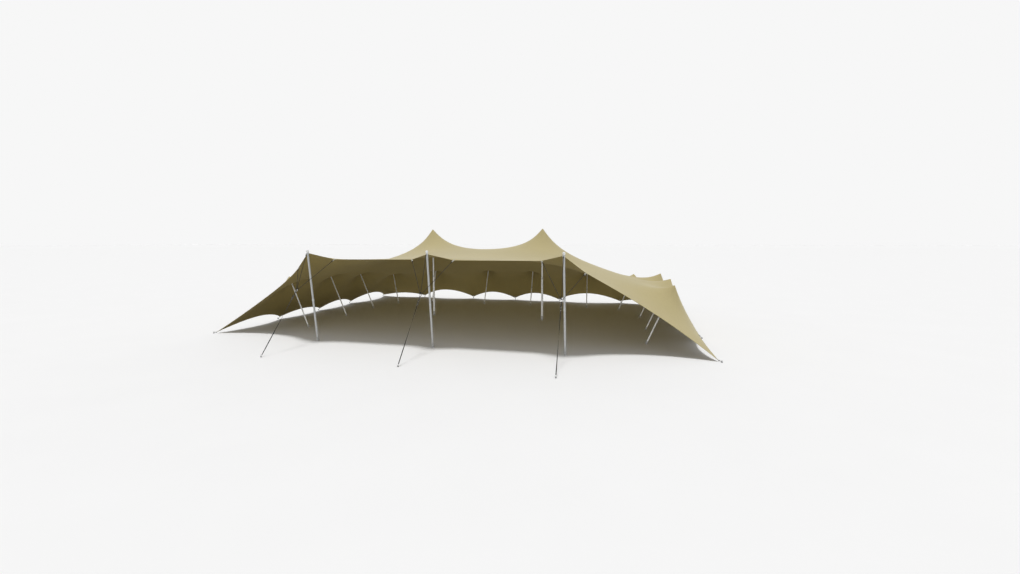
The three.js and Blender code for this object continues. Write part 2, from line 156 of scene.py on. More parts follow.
HEM_HOLDS = {
    "front_left": ((-CLOTH_HALF_WIDTH, 0), (-8.43, 0.22, 0.04)),
    "front_right": ((CLOTH_HALF_WIDTH, 0), (8.27, 0.24, 0.04)),
    "left_1": ((-CLOTH_HALF_WIDTH, 3.5), (-8.39, 3.33, 0.10)),
    "left_2": ((-CLOTH_HALF_WIDTH, 6.2), (-8.31, 5.88, 0.10)),
    "left_3": ((-CLOTH_HALF_WIDTH, 9.1), (-8.35, 8.50, 0.10)),
    "back_left": ((-CLOTH_HALF_WIDTH, CLOTH_DEPTH), (-8.30, 11.90, 0.06)),
    "back_1": ((-6.0, CLOTH_DEPTH), (-5.60, 11.95, 0.10)),
    "back_2": ((-2.6, CLOTH_DEPTH), (-2.60, 11.95, 0.10)),
    "back_3": ((0.0, CLOTH_DEPTH), (-0.15, 11.98, 0.10)),
    "back_4": ((2.5, CLOTH_DEPTH), (2.35, 11.85, 0.10)),
    "back_5": ((6.0, CLOTH_DEPTH), (5.60, 11.95, 0.10)),
    "back_right": ((CLOTH_HALF_WIDTH, CLOTH_DEPTH), (8.30, 11.90, 0.06)),
    "right_3": ((CLOTH_HALF_WIDTH, 9.1), (8.30, 8.50, 0.10)),
    "right_2": ((CLOTH_HALF_WIDTH, 6.2), (8.30, 5.88, 0.10)),
    "right_1": ((CLOTH_HALF_WIDTH, 3.5), (8.25, 3.35, 0.10)),
}

# Poles under a peak: radius of the tube and of its round tip, length of the taper between them,
# and radius of the disc of cloth over the tip, in the cloth's coordinates
PEAK_POLES = {
    "king_pole": {"radius": 0.042, "tip": 0.028, "taper": 0.090, "disc": 0.25},
    "short_pole": {"radius": 0.024, "tip": 0.017, "taper": 0.050, "disc": 0.235},
}

# Front poles, and the feet of all poles
FRONT_RADIUS = 0.032
FRONT_CAP_RADIUS = 0.042
FRONT_TOPS = {
    "left": (-4.05, -0.40, 2.97),
    "middle": (0.02, -0.40, 2.97),
    "right": (4.08, -0.40, 2.95),
}
FOOT_FLARE = 1.4
FOOT_SINK = 0.5
POLE_SIDES = 40

# Guys: the ring where three ropes meet, and the peg of each
GUY_RINGS = {
    "left": (-4.12, -0.90, 1.77),
    "middle": (0.02, -0.90, 1.74),
    "right": (4.09, -0.90, 1.70),
}
GUY_PEGS = {"left": (-4.27, -2.30), "middle": (-0.02, -2.29), "right": (4.15, -2.30)}
TENT_MIDDLE = (0, 5.9)
PEG_REACH = 0.09
PEG_HEIGHT = 0.048
PEG_RADIUS = 0.012
PEG_CAP_RADIUS = 0.026
ROPE_RADIUS = 0.007
TIE_RADIUS = 0.005
RING_RADIUS = 0.034
RING_WIRE = 0.007
STRAP_WIDTH = 0.025
STRAP_THICKNESS = 0.0022
BUCKLE_FROM = 0.180
BUCKLE_TO = 0.330

# Plain directions, and the cosine above which two directions count as parallel
SIDEWAYS = np.array([1.0, 0.0, 0.0])
BACKWARD = np.array([0.0, 1.0, 0.0])
UPWARD = np.array([0.0, 0.0, 1.0])
NEARLY_PARALLEL = 0.99


# Small helpers for points and directions
def unit(vectors):
    """Vectors of length 1 in the same directions."""
    vectors = np.asarray(vectors, float)
    return vectors / np.linalg.norm(vectors, axis=-1, keepdims=True)


def across_axes(direction, toward=UPWARD):
    """Two unit vectors square to a direction and to each other, as x and y are to z.
    The second leans toward a given vector."""
    direction = unit(direction)
    toward = unit(toward)
    if abs(direction @ toward) > NEARLY_PARALLEL:
        toward = np.roll(toward, 1)
    side = unit(np.cross(toward, direction))
    return side, np.cross(direction, side)


def turned(angles, first, second):
    """Vectors turned by these angles from a first one toward a second."""
    angles = np.asarray(angles)[..., None]
    return np.cos(angles) * first + np.sin(angles) * second


def circle(first, second, count):
    """Points round a circle or ellipse with these two half axes, about the origin."""
    return turned(np.arange(count) * 2 * math.pi / count, first, second)


def half_round(start, end, away, count=12):
    """Points of a half circle from start to end that bulges away."""
    arm = (start - end) / 2
    bulge = np.linalg.norm(arm) * away
    return (start + end) / 2 + turned(np.linspace(0, math.pi, count), arm, bulge)


def distances(path):
    """How far along a path each of its points is."""
    steps = np.linalg.norm(np.diff(path, axis=0), axis=1)
    return np.concatenate([[0], np.cumsum(steps)])


def points_along(path, count):
    """Evenly spaced points along a path, and how far along each is."""
    path = np.asarray(path, float)
    lengths = distances(path)
    at = np.linspace(0, lengths[-1], count)
    return np.stack([np.interp(at, lengths, path[:, k]) for k in range(3)], -1), at


# The cloth's grid lines
def on_coarse_line(value, start, step):
    return start + step * round((value - start) / step)


def cell_shares(before, after):
    """Where a coarse cell is divided, with a head's line before it, after it or both."""
    near = [share for share in HEAD_SHARES if share < 0.5 or not (before and after)]
    shares = []
    if before:
        shares += near
    if after:
        shares += [1 - share for share in near]
    return sorted(shares or EVEN_SHARES)


def grid_lines(start, step, count, head_lines):
    """Coarse lines and the finer lines between them."""
    near_head = {round((line - start) / step) for line in head_lines}
    cells = [cell_shares(cell in near_head, cell + 1 in near_head) for cell in range(count)]
    cells[0] = EDGE_SHARES
    cells[-1] = [1 - share for share in reversed(EDGE_SHARES)]
    at = [cell + share for cell, shares in enumerate(cells) for share in (0.0, *shares)]
    return start + step * np.array([*at, count])


HEAD_CLOTH = [cloth for cloth, _ in PEAKS.values()]
ACROSS = grid_lines(-CLOTH_HALF_WIDTH, STEP_ACROSS, COARSE_COLUMNS, [u for u, _ in HEAD_CLOTH])
ALONG = grid_lines(0.0, STEP_ALONG, COARSE_ROWS, [v for _, v in HEAD_CLOTH])


def cloth_middle(cloth):
    """The coarse grid's node that is nearest to a cloth point."""
    u = on_coarse_line(cloth[0], -CLOTH_HALF_WIDTH, STEP_ACROSS)
    return u, on_coarse_line(cloth[1], 0.0, STEP_ALONG)


def cloth_node(cloth):
    """Row and column of that node in the fine grid."""
    u, v = cloth_middle(cloth)
    return np.argmin(np.abs(ALONG - v)), np.argmin(np.abs(ACROSS - u))


# The cloth's shape: every free node settles between its neighbours under the pulls
def pulls():
    """Pull between each node and the next one across, and the next one along."""
    du, dv = np.diff(ACROSS), np.diff(ALONG)
    strip_along = (np.append(dv, 0) + np.append(0, dv)) / 2
    strip_across = (np.append(du, 0) + np.append(0, du)) / 2
    across = strip_along[:, None] / du[None]
    along = strip_across[None] / dv[:, None]
    middles = np.abs(ACROSS[1:] + ACROSS[:-1]) / 2
    front = np.where(middles > WING_START, WING_EDGE_PULL, FRONT_EDGE_PULL)
    across[0] = front * STEP_ACROSS / du
    across[-1] = HEM_PULL * STEP_ACROSS / du
    along[:, 0] = HEM_PULL * STEP_ALONG / dv
    along[:, -1] = HEM_PULL * STEP_ALONG / dv
    return across, along


def slot_of(node):
    return "king_pole" if node.startswith("king") else "short_pole"


def head_middle(node):
    """The middle of a pole's round tip just under its peak, the pole's direction, and how far
    from the tip's middle the cloth lies."""
    peak = place(PEAKS[node][1])
    direction = unit(peak - foot_of(node))
    reach = PEAK_POLES[slot_of(node)]["tip"] + HEAD_GAP + FABRIC_THICKNESS / 2
    return peak - direction * reach, direction, reach


def round_shares(turn):
    """Terms of a smooth curve round a circle."""
    waves = [np.cos(turn), np.sin(turn), np.cos(2 * turn), np.sin(2 * turn)]
    return np.stack([np.ones_like(turn), *waves], -1)


class Head:
    """A disc of the cloth that lies over a pole's round tip and leaves it without a kink."""

    def __init__(self, node):
        self.middle, self.axis, self.reach = head_middle(node)
        self.side, self.up = across_axes(self.axis, BACKWARD)
        disc = PEAK_POLES[slot_of(node)]["disc"]
        u, v = cloth_middle(PEAKS[node][0])
        du, dv = np.meshgrid(ACROSS - u, ALONG - v)
        distance = np.hypot(du, dv)
        self.on = distance <= disc
        self.round = (distance > disc) & (distance <= HEAD_FIT_REACH * disc)
        self.share = distance[self.on] / disc
        self.turn = np.arctan2(dv, du)
        self.cap = np.array([FIRST_CAP_ANGLE, 0, 0, 0, 0])

    def hold(self, points, held):
        """Lays the disc's nodes on the tip, out to the cap's edge."""
        turn = self.turn[self.on]
        edge = np.maximum(round_shares(turn) @ self.cap, LEAST_CAP_ANGLE)
        level = turned(turn, self.side, self.up)
        points[self.on] = self.middle + self.reach * turned(edge * self.share, self.axis, level)
        held[self.on] = True

    def fit(self, points):
        """Ends the cap where a straight line from the free cloth would touch the tip."""
        arm = points[self.round] - self.middle
        far = np.linalg.norm(arm, axis=1)
        lean = np.arccos(np.clip(arm @ self.axis / far, -1, 1))
        touch = lean - np.arccos(np.clip(self.reach / far, -1, 1))
        terms = round_shares(self.turn[self.round])
        self.cap = np.linalg.lstsq(terms, touch, rcond=None)[0]


def start_cloth(heads):
    """The cloth before it settles, with its held nodes in place."""
    across, along = np.meshgrid(ACROSS, ALONG)
    height = np.full(across.shape, START_HEIGHT)
    points = place(np.stack([across * START_SHARE, along * START_SHARE, height], -1))
    held = np.zeros(across.shape, bool)
    for cloth, at in [*FRONT_HOLDS.values(), *HEM_HOLDS.values()]:
        node = cloth_node(cloth)
        points[node] = place(at)
        held[node] = True
    for head in heads:
        head.hold(points, held)
    return points, held


def settle(points, held):
    """Conjugate gradients on the free nodes."""
    across, along = pulls()
    total = np.zeros(held.shape)
    total[:, :-1] += across
    total[:, 1:] += across
    total[:-1] += along
    total[1:] += along

    def out_of_balance(shape):
        result = total[..., None] * shape
        result[:, :-1] -= across[..., None] * shape[:, 1:]
        result[:, 1:] -= across[..., None] * shape[:, :-1]
        result[:-1] -= along[..., None] * shape[1:]
        result[1:] -= along[..., None] * shape[:-1]
        result[held] = 0
        return result

    shape = points.copy()
    residual = -out_of_balance(shape)
    eased = residual / total[..., None]
    step = eased.copy()
    strength = np.sum(residual * eased)
    for _ in range(SOLVE_ROUNDS):
        load = out_of_balance(step)
        share = strength / np.sum(step * load)
        shape += share * step
        residual -= share * load
        eased = residual / total[..., None]
        fresh = np.sum(residual * eased)
        if fresh < SOLVE_LIMIT:
            break
        step = eased + fresh / strength * step
        strength = fresh
    return shape


def shape_cloth():
    """Settles the cloth, fits the caps over the heads to it, and settles it again."""
    heads = [Head(node) for node in PEAKS]
    points, held = start_cloth(heads)
    points = settle(points, held)
    for head in heads:
        head.fit(points)
        head.hold(points, held)
    return settle(points, held)


def grid_normals(points):
    """Outward normals of the cloth at its nodes."""
    across = np.gradient(points, ACROSS, axis=1)
    along = np.gradient(points, ALONG, axis=0)
    return unit(np.cross(across, along))


cloth_points = shape_cloth()
cloth_normals = grid_normals(cloth_points)


def cell_share(lines, value):
    """The cell between grid lines that a value lies in, and its share of the way across."""
    cell = np.clip(np.searchsorted(lines, value, "right") - 1, 0, len(lines) - 2)
    share = (value - lines[cell]) / (lines[cell + 1] - lines[cell])
    return cell, np.clip(share, 0, 1)[..., None]


def cloth_at(u, v, lift=0.0):
    """The place of a cloth point, lifted off the cloth's middle along its normal."""
    column, right = cell_share(ACROSS, u)
    row, up = cell_share(ALONG, v)

    def between(field):
        low = field[row, column] * (1 - right) + field[row, column + 1] * right
        high = field[row + 1, column] * (1 - right) + field[row + 1, column + 1] * right
        return low * (1 - up) + high * up

    return between(cloth_points) + np.asarray(lift)[..., None] * between(cloth_normals)


# A piece's points and faces, gathered part by part
class Shape:
    def __init__(self):
        self.points = []
        self.uvs = []
        self.faces = []
        self.finishes = []

    def add(self, points, faces, finish=0, uvs=None):
        start = len(self.points)
        self.points.extend(np.asarray(points, float).tolist())
        self.uvs.extend([(0.0, 0.0)] * len(points) if uvs is None else uvs)
        self.faces.extend([[start + corner for corner in face] for face in faces])
        self.finishes.extend([finish] * len(faces))


# Edges that turn more than this many degrees stay sharp; fabric folds softly
SHARP_ANGLE = 40
FABRIC_SHARP_ANGLE = 80


def make_piece(name, shape, materials, replaced, sharp=SHARP_ANGLE):
    mesh = bpy.data.meshes.new(name)
    mesh.from_pydata(shape.points, [], shape.faces)
    for material in materials:
        mesh.materials.append(material)
    mesh.polygons.foreach_set("material_index", shape.finishes)
    corners = [corner for face in shape.faces for corner in face]
    layer = mesh.uv_layers.new(name="cloth")
    layer.data.foreach_set("uv", np.array(shape.uvs, np.float32)[corners].ravel())
    mesh.validate()
    mesh.shade_smooth()
    mesh.set_sharp_from_angle(angle=math.radians(sharp))
    piece = add_object(name, mesh)
    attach(piece, "root")
    if replaced:
        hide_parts(*replaced)
    return piece


def loft(shape, rings, finish=0, closed=False, uvs=None):
    """A skin over rings of points. closed joins the last ring to the first; an open row of
    rings gets a flat face at each end."""
    here = np.arange(len(rings) * len(rings[0])).reshape(len(rings), -1)
    after = np.roll(here, -1, 1)
    quads = np.stack([here, after, np.roll(after, -1, 0), np.roll(here, -1, 0)], -1)
    faces = quads[:None if closed else -1].reshape(-1, 4).tolist()
    if not closed:
        faces += [here[0, ::-1].tolist(), here[-1].tolist()]
    shape.add(np.concatenate(rings), faces, finish, uvs)


def lathe(shape, base, direction, outline, sides, finish=0):
    """Turns an outline of (height, radius) about a line; its ends are closed flat."""
    direction = unit(direction)
    rim = circle(*across_axes(direction, BACKWARD), sides)
    rings = [np.array(base) + direction * height + rim * radius for height, radius in outline]
    loft(shape, rings, finish)


def path_frames(path, closed=False):
    """Two turn-free axes square to a path at each of its points."""
    if closed:
        directions = unit(np.roll(path, -1, 0) - np.roll(path, 1, 0))
    else:
        directions = unit(np.gradient(path, axis=0))
    side, _ = across_axes(directions[0])
    sides = []
    for direction in directions:
        side = unit(side - direction * (side @ direction))
        sides.append(side)
    return np.array(sides), np.cross(directions, sides)


def tube(shape, path, radius, sides, finish=0, closed=False):
    """A round tube along a path."""
    path = np.asarray(path, float)
    axes = zip(*path_frames(path, closed))
    rings = [at + radius * circle(first, second, sides) for at, (first, second) in zip(path, axes)]
    loft(shape, rings, finish, closed)


# Materials: small helpers, then one function for each finish
class Nodes:
    """Adds and joins the nodes of a material or of the world."""

    def __init__(self, owner):
        owner.use_nodes = True
        self.owner = owner
        self.tree = owner.node_tree

    def add(self, kind, inputs=None, **settings):
        node = self.tree.nodes.new(kind)
        for key, value in settings.items():
            setattr(node, key, value)
        for key, value in (inputs or {}).items():
            self.set(node, key, value)
        return node

    def set(self, node, key, value):
        """Links a socket to another node's output, or gives it a fixed value."""
        socket = node.inputs[key]
        if isinstance(value, bpy.types.NodeSocket):
            self.tree.links.new(value, socket)
        else:
            socket.default_value = value

    def shade(self, **values):
        """Sets the shader's sockets, named with _ for a space."""
        for key, value in values.items():
            self.set(self.tree.nodes["Principled BSDF"], key.replace("_", " "), value)

    def math(self, operation, first, second=0.0):
        return self.add("ShaderNodeMath", {0: first, 1: second}, operation=operation).outputs[0]

    def wave(self, value, length):
        return self.math("SINE", self.math("MULTIPLY", value, 2 * math.pi / length))

    def mix(self, share, first, second):
        """Two colours mixed: the node's sockets 6 and 7, and its output 2."""
        inputs = {0: share, 6: first, 7: second}
        return self.add("ShaderNodeMix", inputs, data_type="RGBA").outputs[2]

    def noise(self, vector, scale, detail=3.0, roughness=0.5):
        inputs = {"Vector": vector, "Scale": scale, "Detail": detail, "Roughness": roughness}
        return self.add("ShaderNodeTexNoise", inputs).outputs["Fac"]

    def patches(self, scale):
        """Uneven patches all over the piece."""
        return self.noise(self.where(), scale, detail=4.0, roughness=0.6)

    def spread(self, value, low, high, to_low=0.0, to_high=1.0):
        inputs = {"Value": value, "From Min": low, "From Max": high,
                  "To Min": to_low, "To Max": to_high}
        return self.add("ShaderNodeMapRange", inputs).outputs["Result"]

    def bump(self, height, strength, distance, under=None):
        inputs = {"Height": height, "Strength": strength, "Distance": distance}
        if under is not None:
            inputs["Normal"] = under
        return self.add("ShaderNodeBump", inputs).outputs["Normal"]

    def where(self):
        return self.add("ShaderNodeTexCoord").outputs["Object"]

    def cloth(self):
        return self.add("ShaderNodeUVMap", uv_map="cloth").outputs["UV"]

    def parts(self, vector):
        return self.add("ShaderNodeSeparateXYZ", {0: vector}).outputs

    def scaled(self, vector, scale):
        inputs = {0: vector, 1: scale}
        return self.add("ShaderNodeVectorMath", inputs, operation="MULTIPLY").outputs[0]


def grey(value):
    return (value, value, value, 1.0)


def dimmed(colour, share):
    """A colour at a share of its strength."""
    return (*(part * share for part in colour[:3]), 1.0)


# Fabric, in the cloth's coordinates: rows of the knit, strips of cloth, and where a seam fades
# out beside its middle. Clouds of tone are per metre.
KNIT = 0.004
STRIP_WIDTH = 1.5
SEAM_FADE = (0.0088, 0.0132)
SEAM_SHADE = 0.03
KNIT_SHADE = 0.05
WIDE_CLOUDS = 0.45
SMALL_CLOUDS = 9.0
WIDE_CLOUD_SHARE = 0.7
FABRIC_SPECULAR = 0.25
SHEEN_ROUGHNESS = 0.35
SHEEN_TINT = (1.0, 0.98, 0.88, 1.0)
# How far the painted shade round each pole head reaches, in the cloth's coordinates
PAINTED_HEAD_SHADE_REACH = 0.55
DEEP_SHADE = grey(0.02)


def fabric(name, colour, shade, rough, sheen, painted_head_shade=0.0):
    """Stretch fabric: a fine knit with soft clouds of tone, in strips joined by flat seams.
    Its last argument paints shade round the pole heads, darkening it where the fabric is drawn into
    a narrow cone."""
    n = Nodes(bpy.data.materials.new(name))
    u, v, _ = n.parts(n.cloth())
    wide = n.noise(n.where(), WIDE_CLOUDS, roughness=0.55)
    small = n.patches(SMALL_CLOUDS)
    wide_share = n.math("MULTIPLY", wide, WIDE_CLOUD_SHARE)
    tone = n.math("ADD", wide_share, n.math("MULTIPLY", small, 1 - WIDE_CLOUD_SHARE))
    tint = n.mix(n.spread(tone, 0.35, 0.65), shade, colour)
    knit = n.math("MULTIPLY", n.wave(u, KNIT), n.wave(v, KNIT))
    from_seam = n.math("PINGPONG", n.math("ADD", u, STRIP_WIDTH / 2), STRIP_WIDTH / 2)
    seam = n.spread(from_seam, *SEAM_FADE, 1.0, 0.0)
    tint = n.mix(n.math("MULTIPLY", seam, SEAM_SHADE), tint, DEEP_SHADE)
    tint = n.mix(n.spread(knit, -1.0, 1.0, 0.0, KNIT_SHADE), tint, DEEP_SHADE)
    # Painted shade: darkest over each pole's head, inside the narrow cone of fabric there
    if painted_head_shade:
        near = n.add("ShaderNodeAttribute", attribute_name="near_head").outputs["Fac"]
        tint = n.mix(n.math("MULTIPLY", near, painted_head_shade), tint, DEEP_SHADE)
    raised = n.bump(seam, 0.25, 0.0015, n.bump(small, 0.25, 0.004))
    n.shade(
        Base_Color=tint, Roughness=rough, Normal=n.bump(knit, 0.12, 0.001, raised),
        Sheen_Weight=sheen, Sheen_Roughness=SHEEN_ROUGHNESS, Sheen_Tint=SHEEN_TINT,
        Specular_IOR_Level=FABRIC_SPECULAR,
    )
    return n.owner


# Tube metal: drawn streaks across and along the tube, and blotches, per metre
STREAKS = (160.0, 160.0, 0.8)
BLOTCHES = 7.0
BLOTCH_SHADE = 0.94
STREAK_SHADE = 0.10


def metal(name, colour, rough, metallic):
    """Drawn aluminium tube: faint streaks along it and dull patches."""
    n = Nodes(bpy.data.materials.new(name))
    streaks = n.noise(n.scaled(n.where(), STREAKS), 1.0, 2.0)
    blotches = n.patches(BLOTCHES)
    tint = n.mix(n.spread(blotches, 0.35, 0.7), dimmed(colour, BLOTCH_SHADE), colour)
    tint = n.mix(n.spread(streaks, 0.3, 0.8, 0.0, STREAK_SHADE), tint, grey(0.30))
    roughness = n.spread(blotches, 0.3, 0.7, rough - 0.04, rough + 0.05)
    normal = n.bump(streaks, 0.03, 0.0005)
    n.shade(Base_Color=tint, Roughness=roughness, Normal=normal, Metallic=metallic)
    return n.owner


# Moulded and cast stuff: patches of tone per metre
PATCHES = 22.0


def plain(name, colour, rough, grain=180.0, depth=0.0004, metallic=0.0, vary=0.25):
    """Moulded or cast stuff with a fine grain and an uneven tone."""
    n = Nodes(bpy.data.materials.new(name))
    grains = n.noise(n.where(), grain)
    patches = n.patches(PATCHES)
    tint = n.mix(n.spread(patches, 0.35, 0.65), dimmed(colour, 1 - vary), colour)
    roughness = n.spread(patches, 0.3, 0.7, rough - 0.06, rough + 0.08)
    normal = n.bump(grains, 0.3, depth)
    n.shade(Base_Color=tint, Roughness=roughness, Normal=normal, Metallic=metallic)
    return n.owner


# Webbing: how far its ribs are apart and its chevron reaches, and how dark the gaps are
RIB_LENGTH = 0.004
CHEVRON = 0.005
FUZZ = 700.0
RIB_SHADE = 0.55


def webbing(name, colour):
    """Flat woven webbing: ribs across, with a chevron in each."""
    n = Nodes(bpy.data.materials.new(name))
    u, v, _ = n.parts(n.cloth())
    ribs = n.wave(n.math("ADD", u, n.math("PINGPONG", v, CHEVRON)), RIB_LENGTH)
    fuzz = n.noise(n.where(), FUZZ, 2.0)
    tint = n.mix(n.spread(ribs, -1.0, 1.0), dimmed(colour, RIB_SHADE), colour)
    normal = n.bump(ribs, 0.5, 0.0008, n.bump(fuzz, 0.3, 0.0005))
    n.shade(Base_Color=tint, Roughness=0.85, Normal=normal)
    return n.owner


# Hem: length of a stitch, the gap at its end, depths of the rows and half the thread
STITCH_LENGTH = 0.006
STITCH_GAP = (0.0015, 0.0022)
STITCH_DEPTHS = (0.009, 0.030)
STITCH_THREAD = (0.0006, 0.0014)
STITCH_SHADE = 0.6
HEM_GRAIN = 420.0


def hem(name, colour, shade):
    """The doubled edge: the fabric's tone with two rows of stitches along it."""
    n = Nodes(bpy.data.materials.new(name))
    u, v, _ = n.parts(n.cloth())
    small = n.patches(SMALL_CLOUDS)
    tint = n.mix(n.spread(small, 0.35, 0.65), shade, colour)
    dash = n.spread(n.math("PINGPONG", u, STITCH_LENGTH), *STITCH_GAP)
    rows = [
        n.spread(n.math("ABSOLUTE", n.math("SUBTRACT", v, deep)), *STITCH_THREAD, 1.0, 0.0)
        for deep in STITCH_DEPTHS
    ]
    stitches = n.math("MULTIPLY", n.math("ADD", *rows), dash)
    tint = n.mix(stitches, tint, dimmed(shade, STITCH_SHADE))
    knit = n.noise(n.where(), HEM_GRAIN, 2.0)
    normal = n.bump(stitches, 0.5, 0.001, n.bump(knit, 0.12, 0.0008))
    n.shade(Base_Color=tint, Roughness=0.88, Normal=normal, Specular_IOR_Level=FABRIC_SPECULAR)
    return n.owner


TOP_COLOUR = (0.489, 0.417, 0.219, 1.0)
TOP_SHADE = (0.455, 0.388, 0.202, 1.0)
# The underside's colours: the fabric's inner face, browner than the top, and darker as painted
# shade for the shade under the canopy
UNDER_SHADED_COLOUR = (0.236, 0.184, 0.063, 1.0)
UNDER_SHADE = (0.216, 0.168, 0.057, 1.0)

fabric_top = fabric("fabric_top", TOP_COLOUR, TOP_SHADE, 0.88, 0.35)
# The underside is partly painted shade, and gets painted shade round the pole heads at half
# strength (its last number)
fabric_under = fabric("fabric_under", UNDER_SHADED_COLOUR, UNDER_SHADE, 0.92, 0.0, 0.5)
hem_top = hem("hem_top", TOP_COLOUR, TOP_SHADE)
# The hem's underside, in the same partly painted shade
hem_under = hem("hem_under", UNDER_SHADED_COLOUR, UNDER_SHADE)
pale_webbing = webbing("pale_webbing", (0.55, 0.53, 0.44, 1.0))
strap_black = webbing("strap_black", (0.03, 0.03, 0.032, 1.0))
# The poles are one aluminium at three tones: the king and short poles, in shade under the canopy,
# are paler than the front poles, as painted light
front_metal = metal("front_metal", (0.53, 0.545, 0.54, 1.0), 0.34, 0.35)
king_metal = metal("king_metal", (0.81, 0.82, 0.815, 1.0), 0.30, 0.85)
short_metal = metal("short_metal", (0.93, 0.94, 0.935, 1.0), 0.36, 0.10)
collar_metal = metal("collar_metal", (0.60, 0.62, 0.62, 1.0), 0.34, 0.35)
grey_rubber = plain("grey_rubber", (0.52, 0.53, 0.52, 1.0), 0.6, grain=260.0)
white_plastic = plain("white_plastic", (0.80, 0.81, 0.80, 1.0), 0.4, vary=0.06)
rope_black = plain("rope_black", (0.022, 0.022, 0.024, 1.0), 0.8, grain=900.0, depth=0.0006)
pale_thread = plain("pale_thread", (0.60, 0.60, 0.58, 1.0), 0.7, grain=2000.0)
grip_plastic = plain("grip_plastic", (0.035, 0.035, 0.037, 1.0), 0.45)
dark_steel = plain("dark_steel", (0.13, 0.13, 0.135, 1.0), 0.4, grain=120.0, metallic=0.6)
zinc = plain("zinc", (0.55, 0.56, 0.57, 1.0), 0.35, grain=120.0, metallic=0.9)


# Canopy: numbers of the grid's nodes, row by row
CLOTH_INDEX = np.arange(len(ALONG) * len(ACROSS)).reshape(len(ALONG), len(ACROSS))


def split_quads(quads, points):
    """Two triangles for each quad, cut along its shorter diagonal."""
    a, b, c, d = quads.T
    first = np.linalg.norm(points[a] - points[c], axis=1)
    second = np.linalg.norm(points[b] - points[d], axis=1)
    along_first = (first <= second)[:, None]
    one = np.where(along_first, quads[:, [0, 1, 2]], quads[:, [0, 1, 3]])
    other = np.where(along_first, quads[:, [0, 2, 3]], quads[:, [1, 2, 3]])
    return np.concatenate([one, other])


def grid_quads(index):
    """Quads between the nodes of a grid."""
    corners = [index[:-1, :-1], index[:-1, 1:], index[1:, 1:], index[1:, :-1]]
    return np.stack(corners, -1).reshape(-1, 4)


def grid_rim(index):
    """A grid's edge nodes in order, round it."""
    return np.concatenate([index[0, :-1], index[:-1, -1], index[-1, :0:-1], index[:0:-1, 0]])


def add_sheet(shape, top, under, index, faces, finish, uvs):
    """A sheet with two layers of nodes: the same faces on both, and the cut edge all round."""
    count = index.size
    rim = grid_rim(index)
    edge = [[a, count + a, count + b, b] for a, b in zip(rim, np.roll(rim, -1))]
    both = faces.tolist() + (faces[:, ::-1] + count).tolist()
    shape.add(np.concatenate([top, under]), both + edge, finish, np.tile(uvs, (2, 1)))


def near_head(flat):
    """Where painted shade darkens the cloth: 1 at the cloth points over a pole's head, down to 0 at
    some distance from it.
    """
    heads = np.array([cloth_middle(cloth) for cloth in HEAD_CLOTH])
    apart = np.linalg.norm(flat[:, None] - heads[None], axis=2).min(1)
    share = np.clip(1 - apart / PAINTED_HEAD_SHADE_REACH, 0, 1)
    return share * share * (3 - 2 * share)


def add_canopy():
    """One continuous sheet: its top, its underside and the cut edge between them."""
    half = FABRIC_THICKNESS / 2 * cloth_normals
    top = (cloth_points + half).reshape(-1, 3)
    under = (cloth_points - half).reshape(-1, 3)
    faces = split_quads(grid_quads(CLOTH_INDEX), cloth_points.reshape(-1, 3))
    flat = np.stack(np.meshgrid(ACROSS, ALONG), -1).reshape(-1, 2)
    shape = Shape()
    add_sheet(shape, top, under, CLOTH_INDEX, faces, 0, flat)
    # The underside's faces take the darker fabric, which is partly painted shade
    shape.finishes[len(faces):2 * len(faces)] = [1] * len(faces)
    finishes = [fabric_top, fabric_under]
    canopy = make_piece(
        "canopy_sheet", shape, finishes, ["canopy"], FABRIC_SHARP_ANGLE)
    # How strongly painted shade darkens the underside round the pole heads
    near = canopy.data.attributes.new("near_head", "FLOAT", "POINT")
    near.data.foreach_set("value", np.tile(near_head(flat), 2))
    return canopy


canopy_sheet = add_canopy()

# Poles: the finishes of their parts, the share of the length where the collar sits, and the
# upper tube's radius beside the lower one's
METAL, RUBBER, COLLAR, WHITE = range(4)
# Each kind of pole has its own tone of the same aluminium, paler under the canopy as painted light
POLE_METALS = {"front_pole": front_metal, "king_pole": king_metal, "short_pole": short_metal}
COLLAR_SHARE = 0.46
UPPER_SHARE = 0.96

# Angles where a ball's outline starts and ends, just off its axis
BALL_START = 0.02
BALL_END = math.pi - 0.02

# Rubber boot, in shares of the tube's radius: its ribs, the grooves between and its lip
BOOT_RIBS = 4
BOOT_FROM = 1.25
BOOT_TOP = 3.4
BOOT_RIB = 1.16
BOOT_RIB_SHARE = 0.75
BOOT_GROOVE = 1.09
BOOT_BEVEL = 0.02
BOOT_LIP = 1.03
TUBE_FROM = 3.3

# Outlines of (height, radius) in shares of the tube's radius, or of the head's taper
COLLAR_OUTLINE = [(-1.0, 1.0), (-0.88, 1.13), (-0.072, 1.13), (0.0, 1.0961), (0.072, 1.13),
                  (0.88, 1.13), (1.0, 0.95)]
PIN_OUTLINE = [(0, 0.17), (0.13, 0.17), (0.2, 0.08)]
PIN_HEIGHT = 2.2
PIN_START = 0.9
PIN_SIDES = 12
HEAD_OUTLINE = [(-1.6, 0.97), (-1.55, 1.0), (-1.05, 1.0), (-1.0, 0.99)]


def ball_outline(centre, radius, start, end, steps=8):
    """Heights and radii along part of a ball, between two angles from its lowest point."""
    angles = start + (end - start) * np.arange(steps + 1) / steps
    return [(centre - radius * math.cos(a), radius * math.sin(a)) for a in angles]


def sized(outline, tall, wide, height=0.0):
    """An outline given in shares, at its real size and height."""
    return [(height + high * tall, out * wide) for high, out in outline]


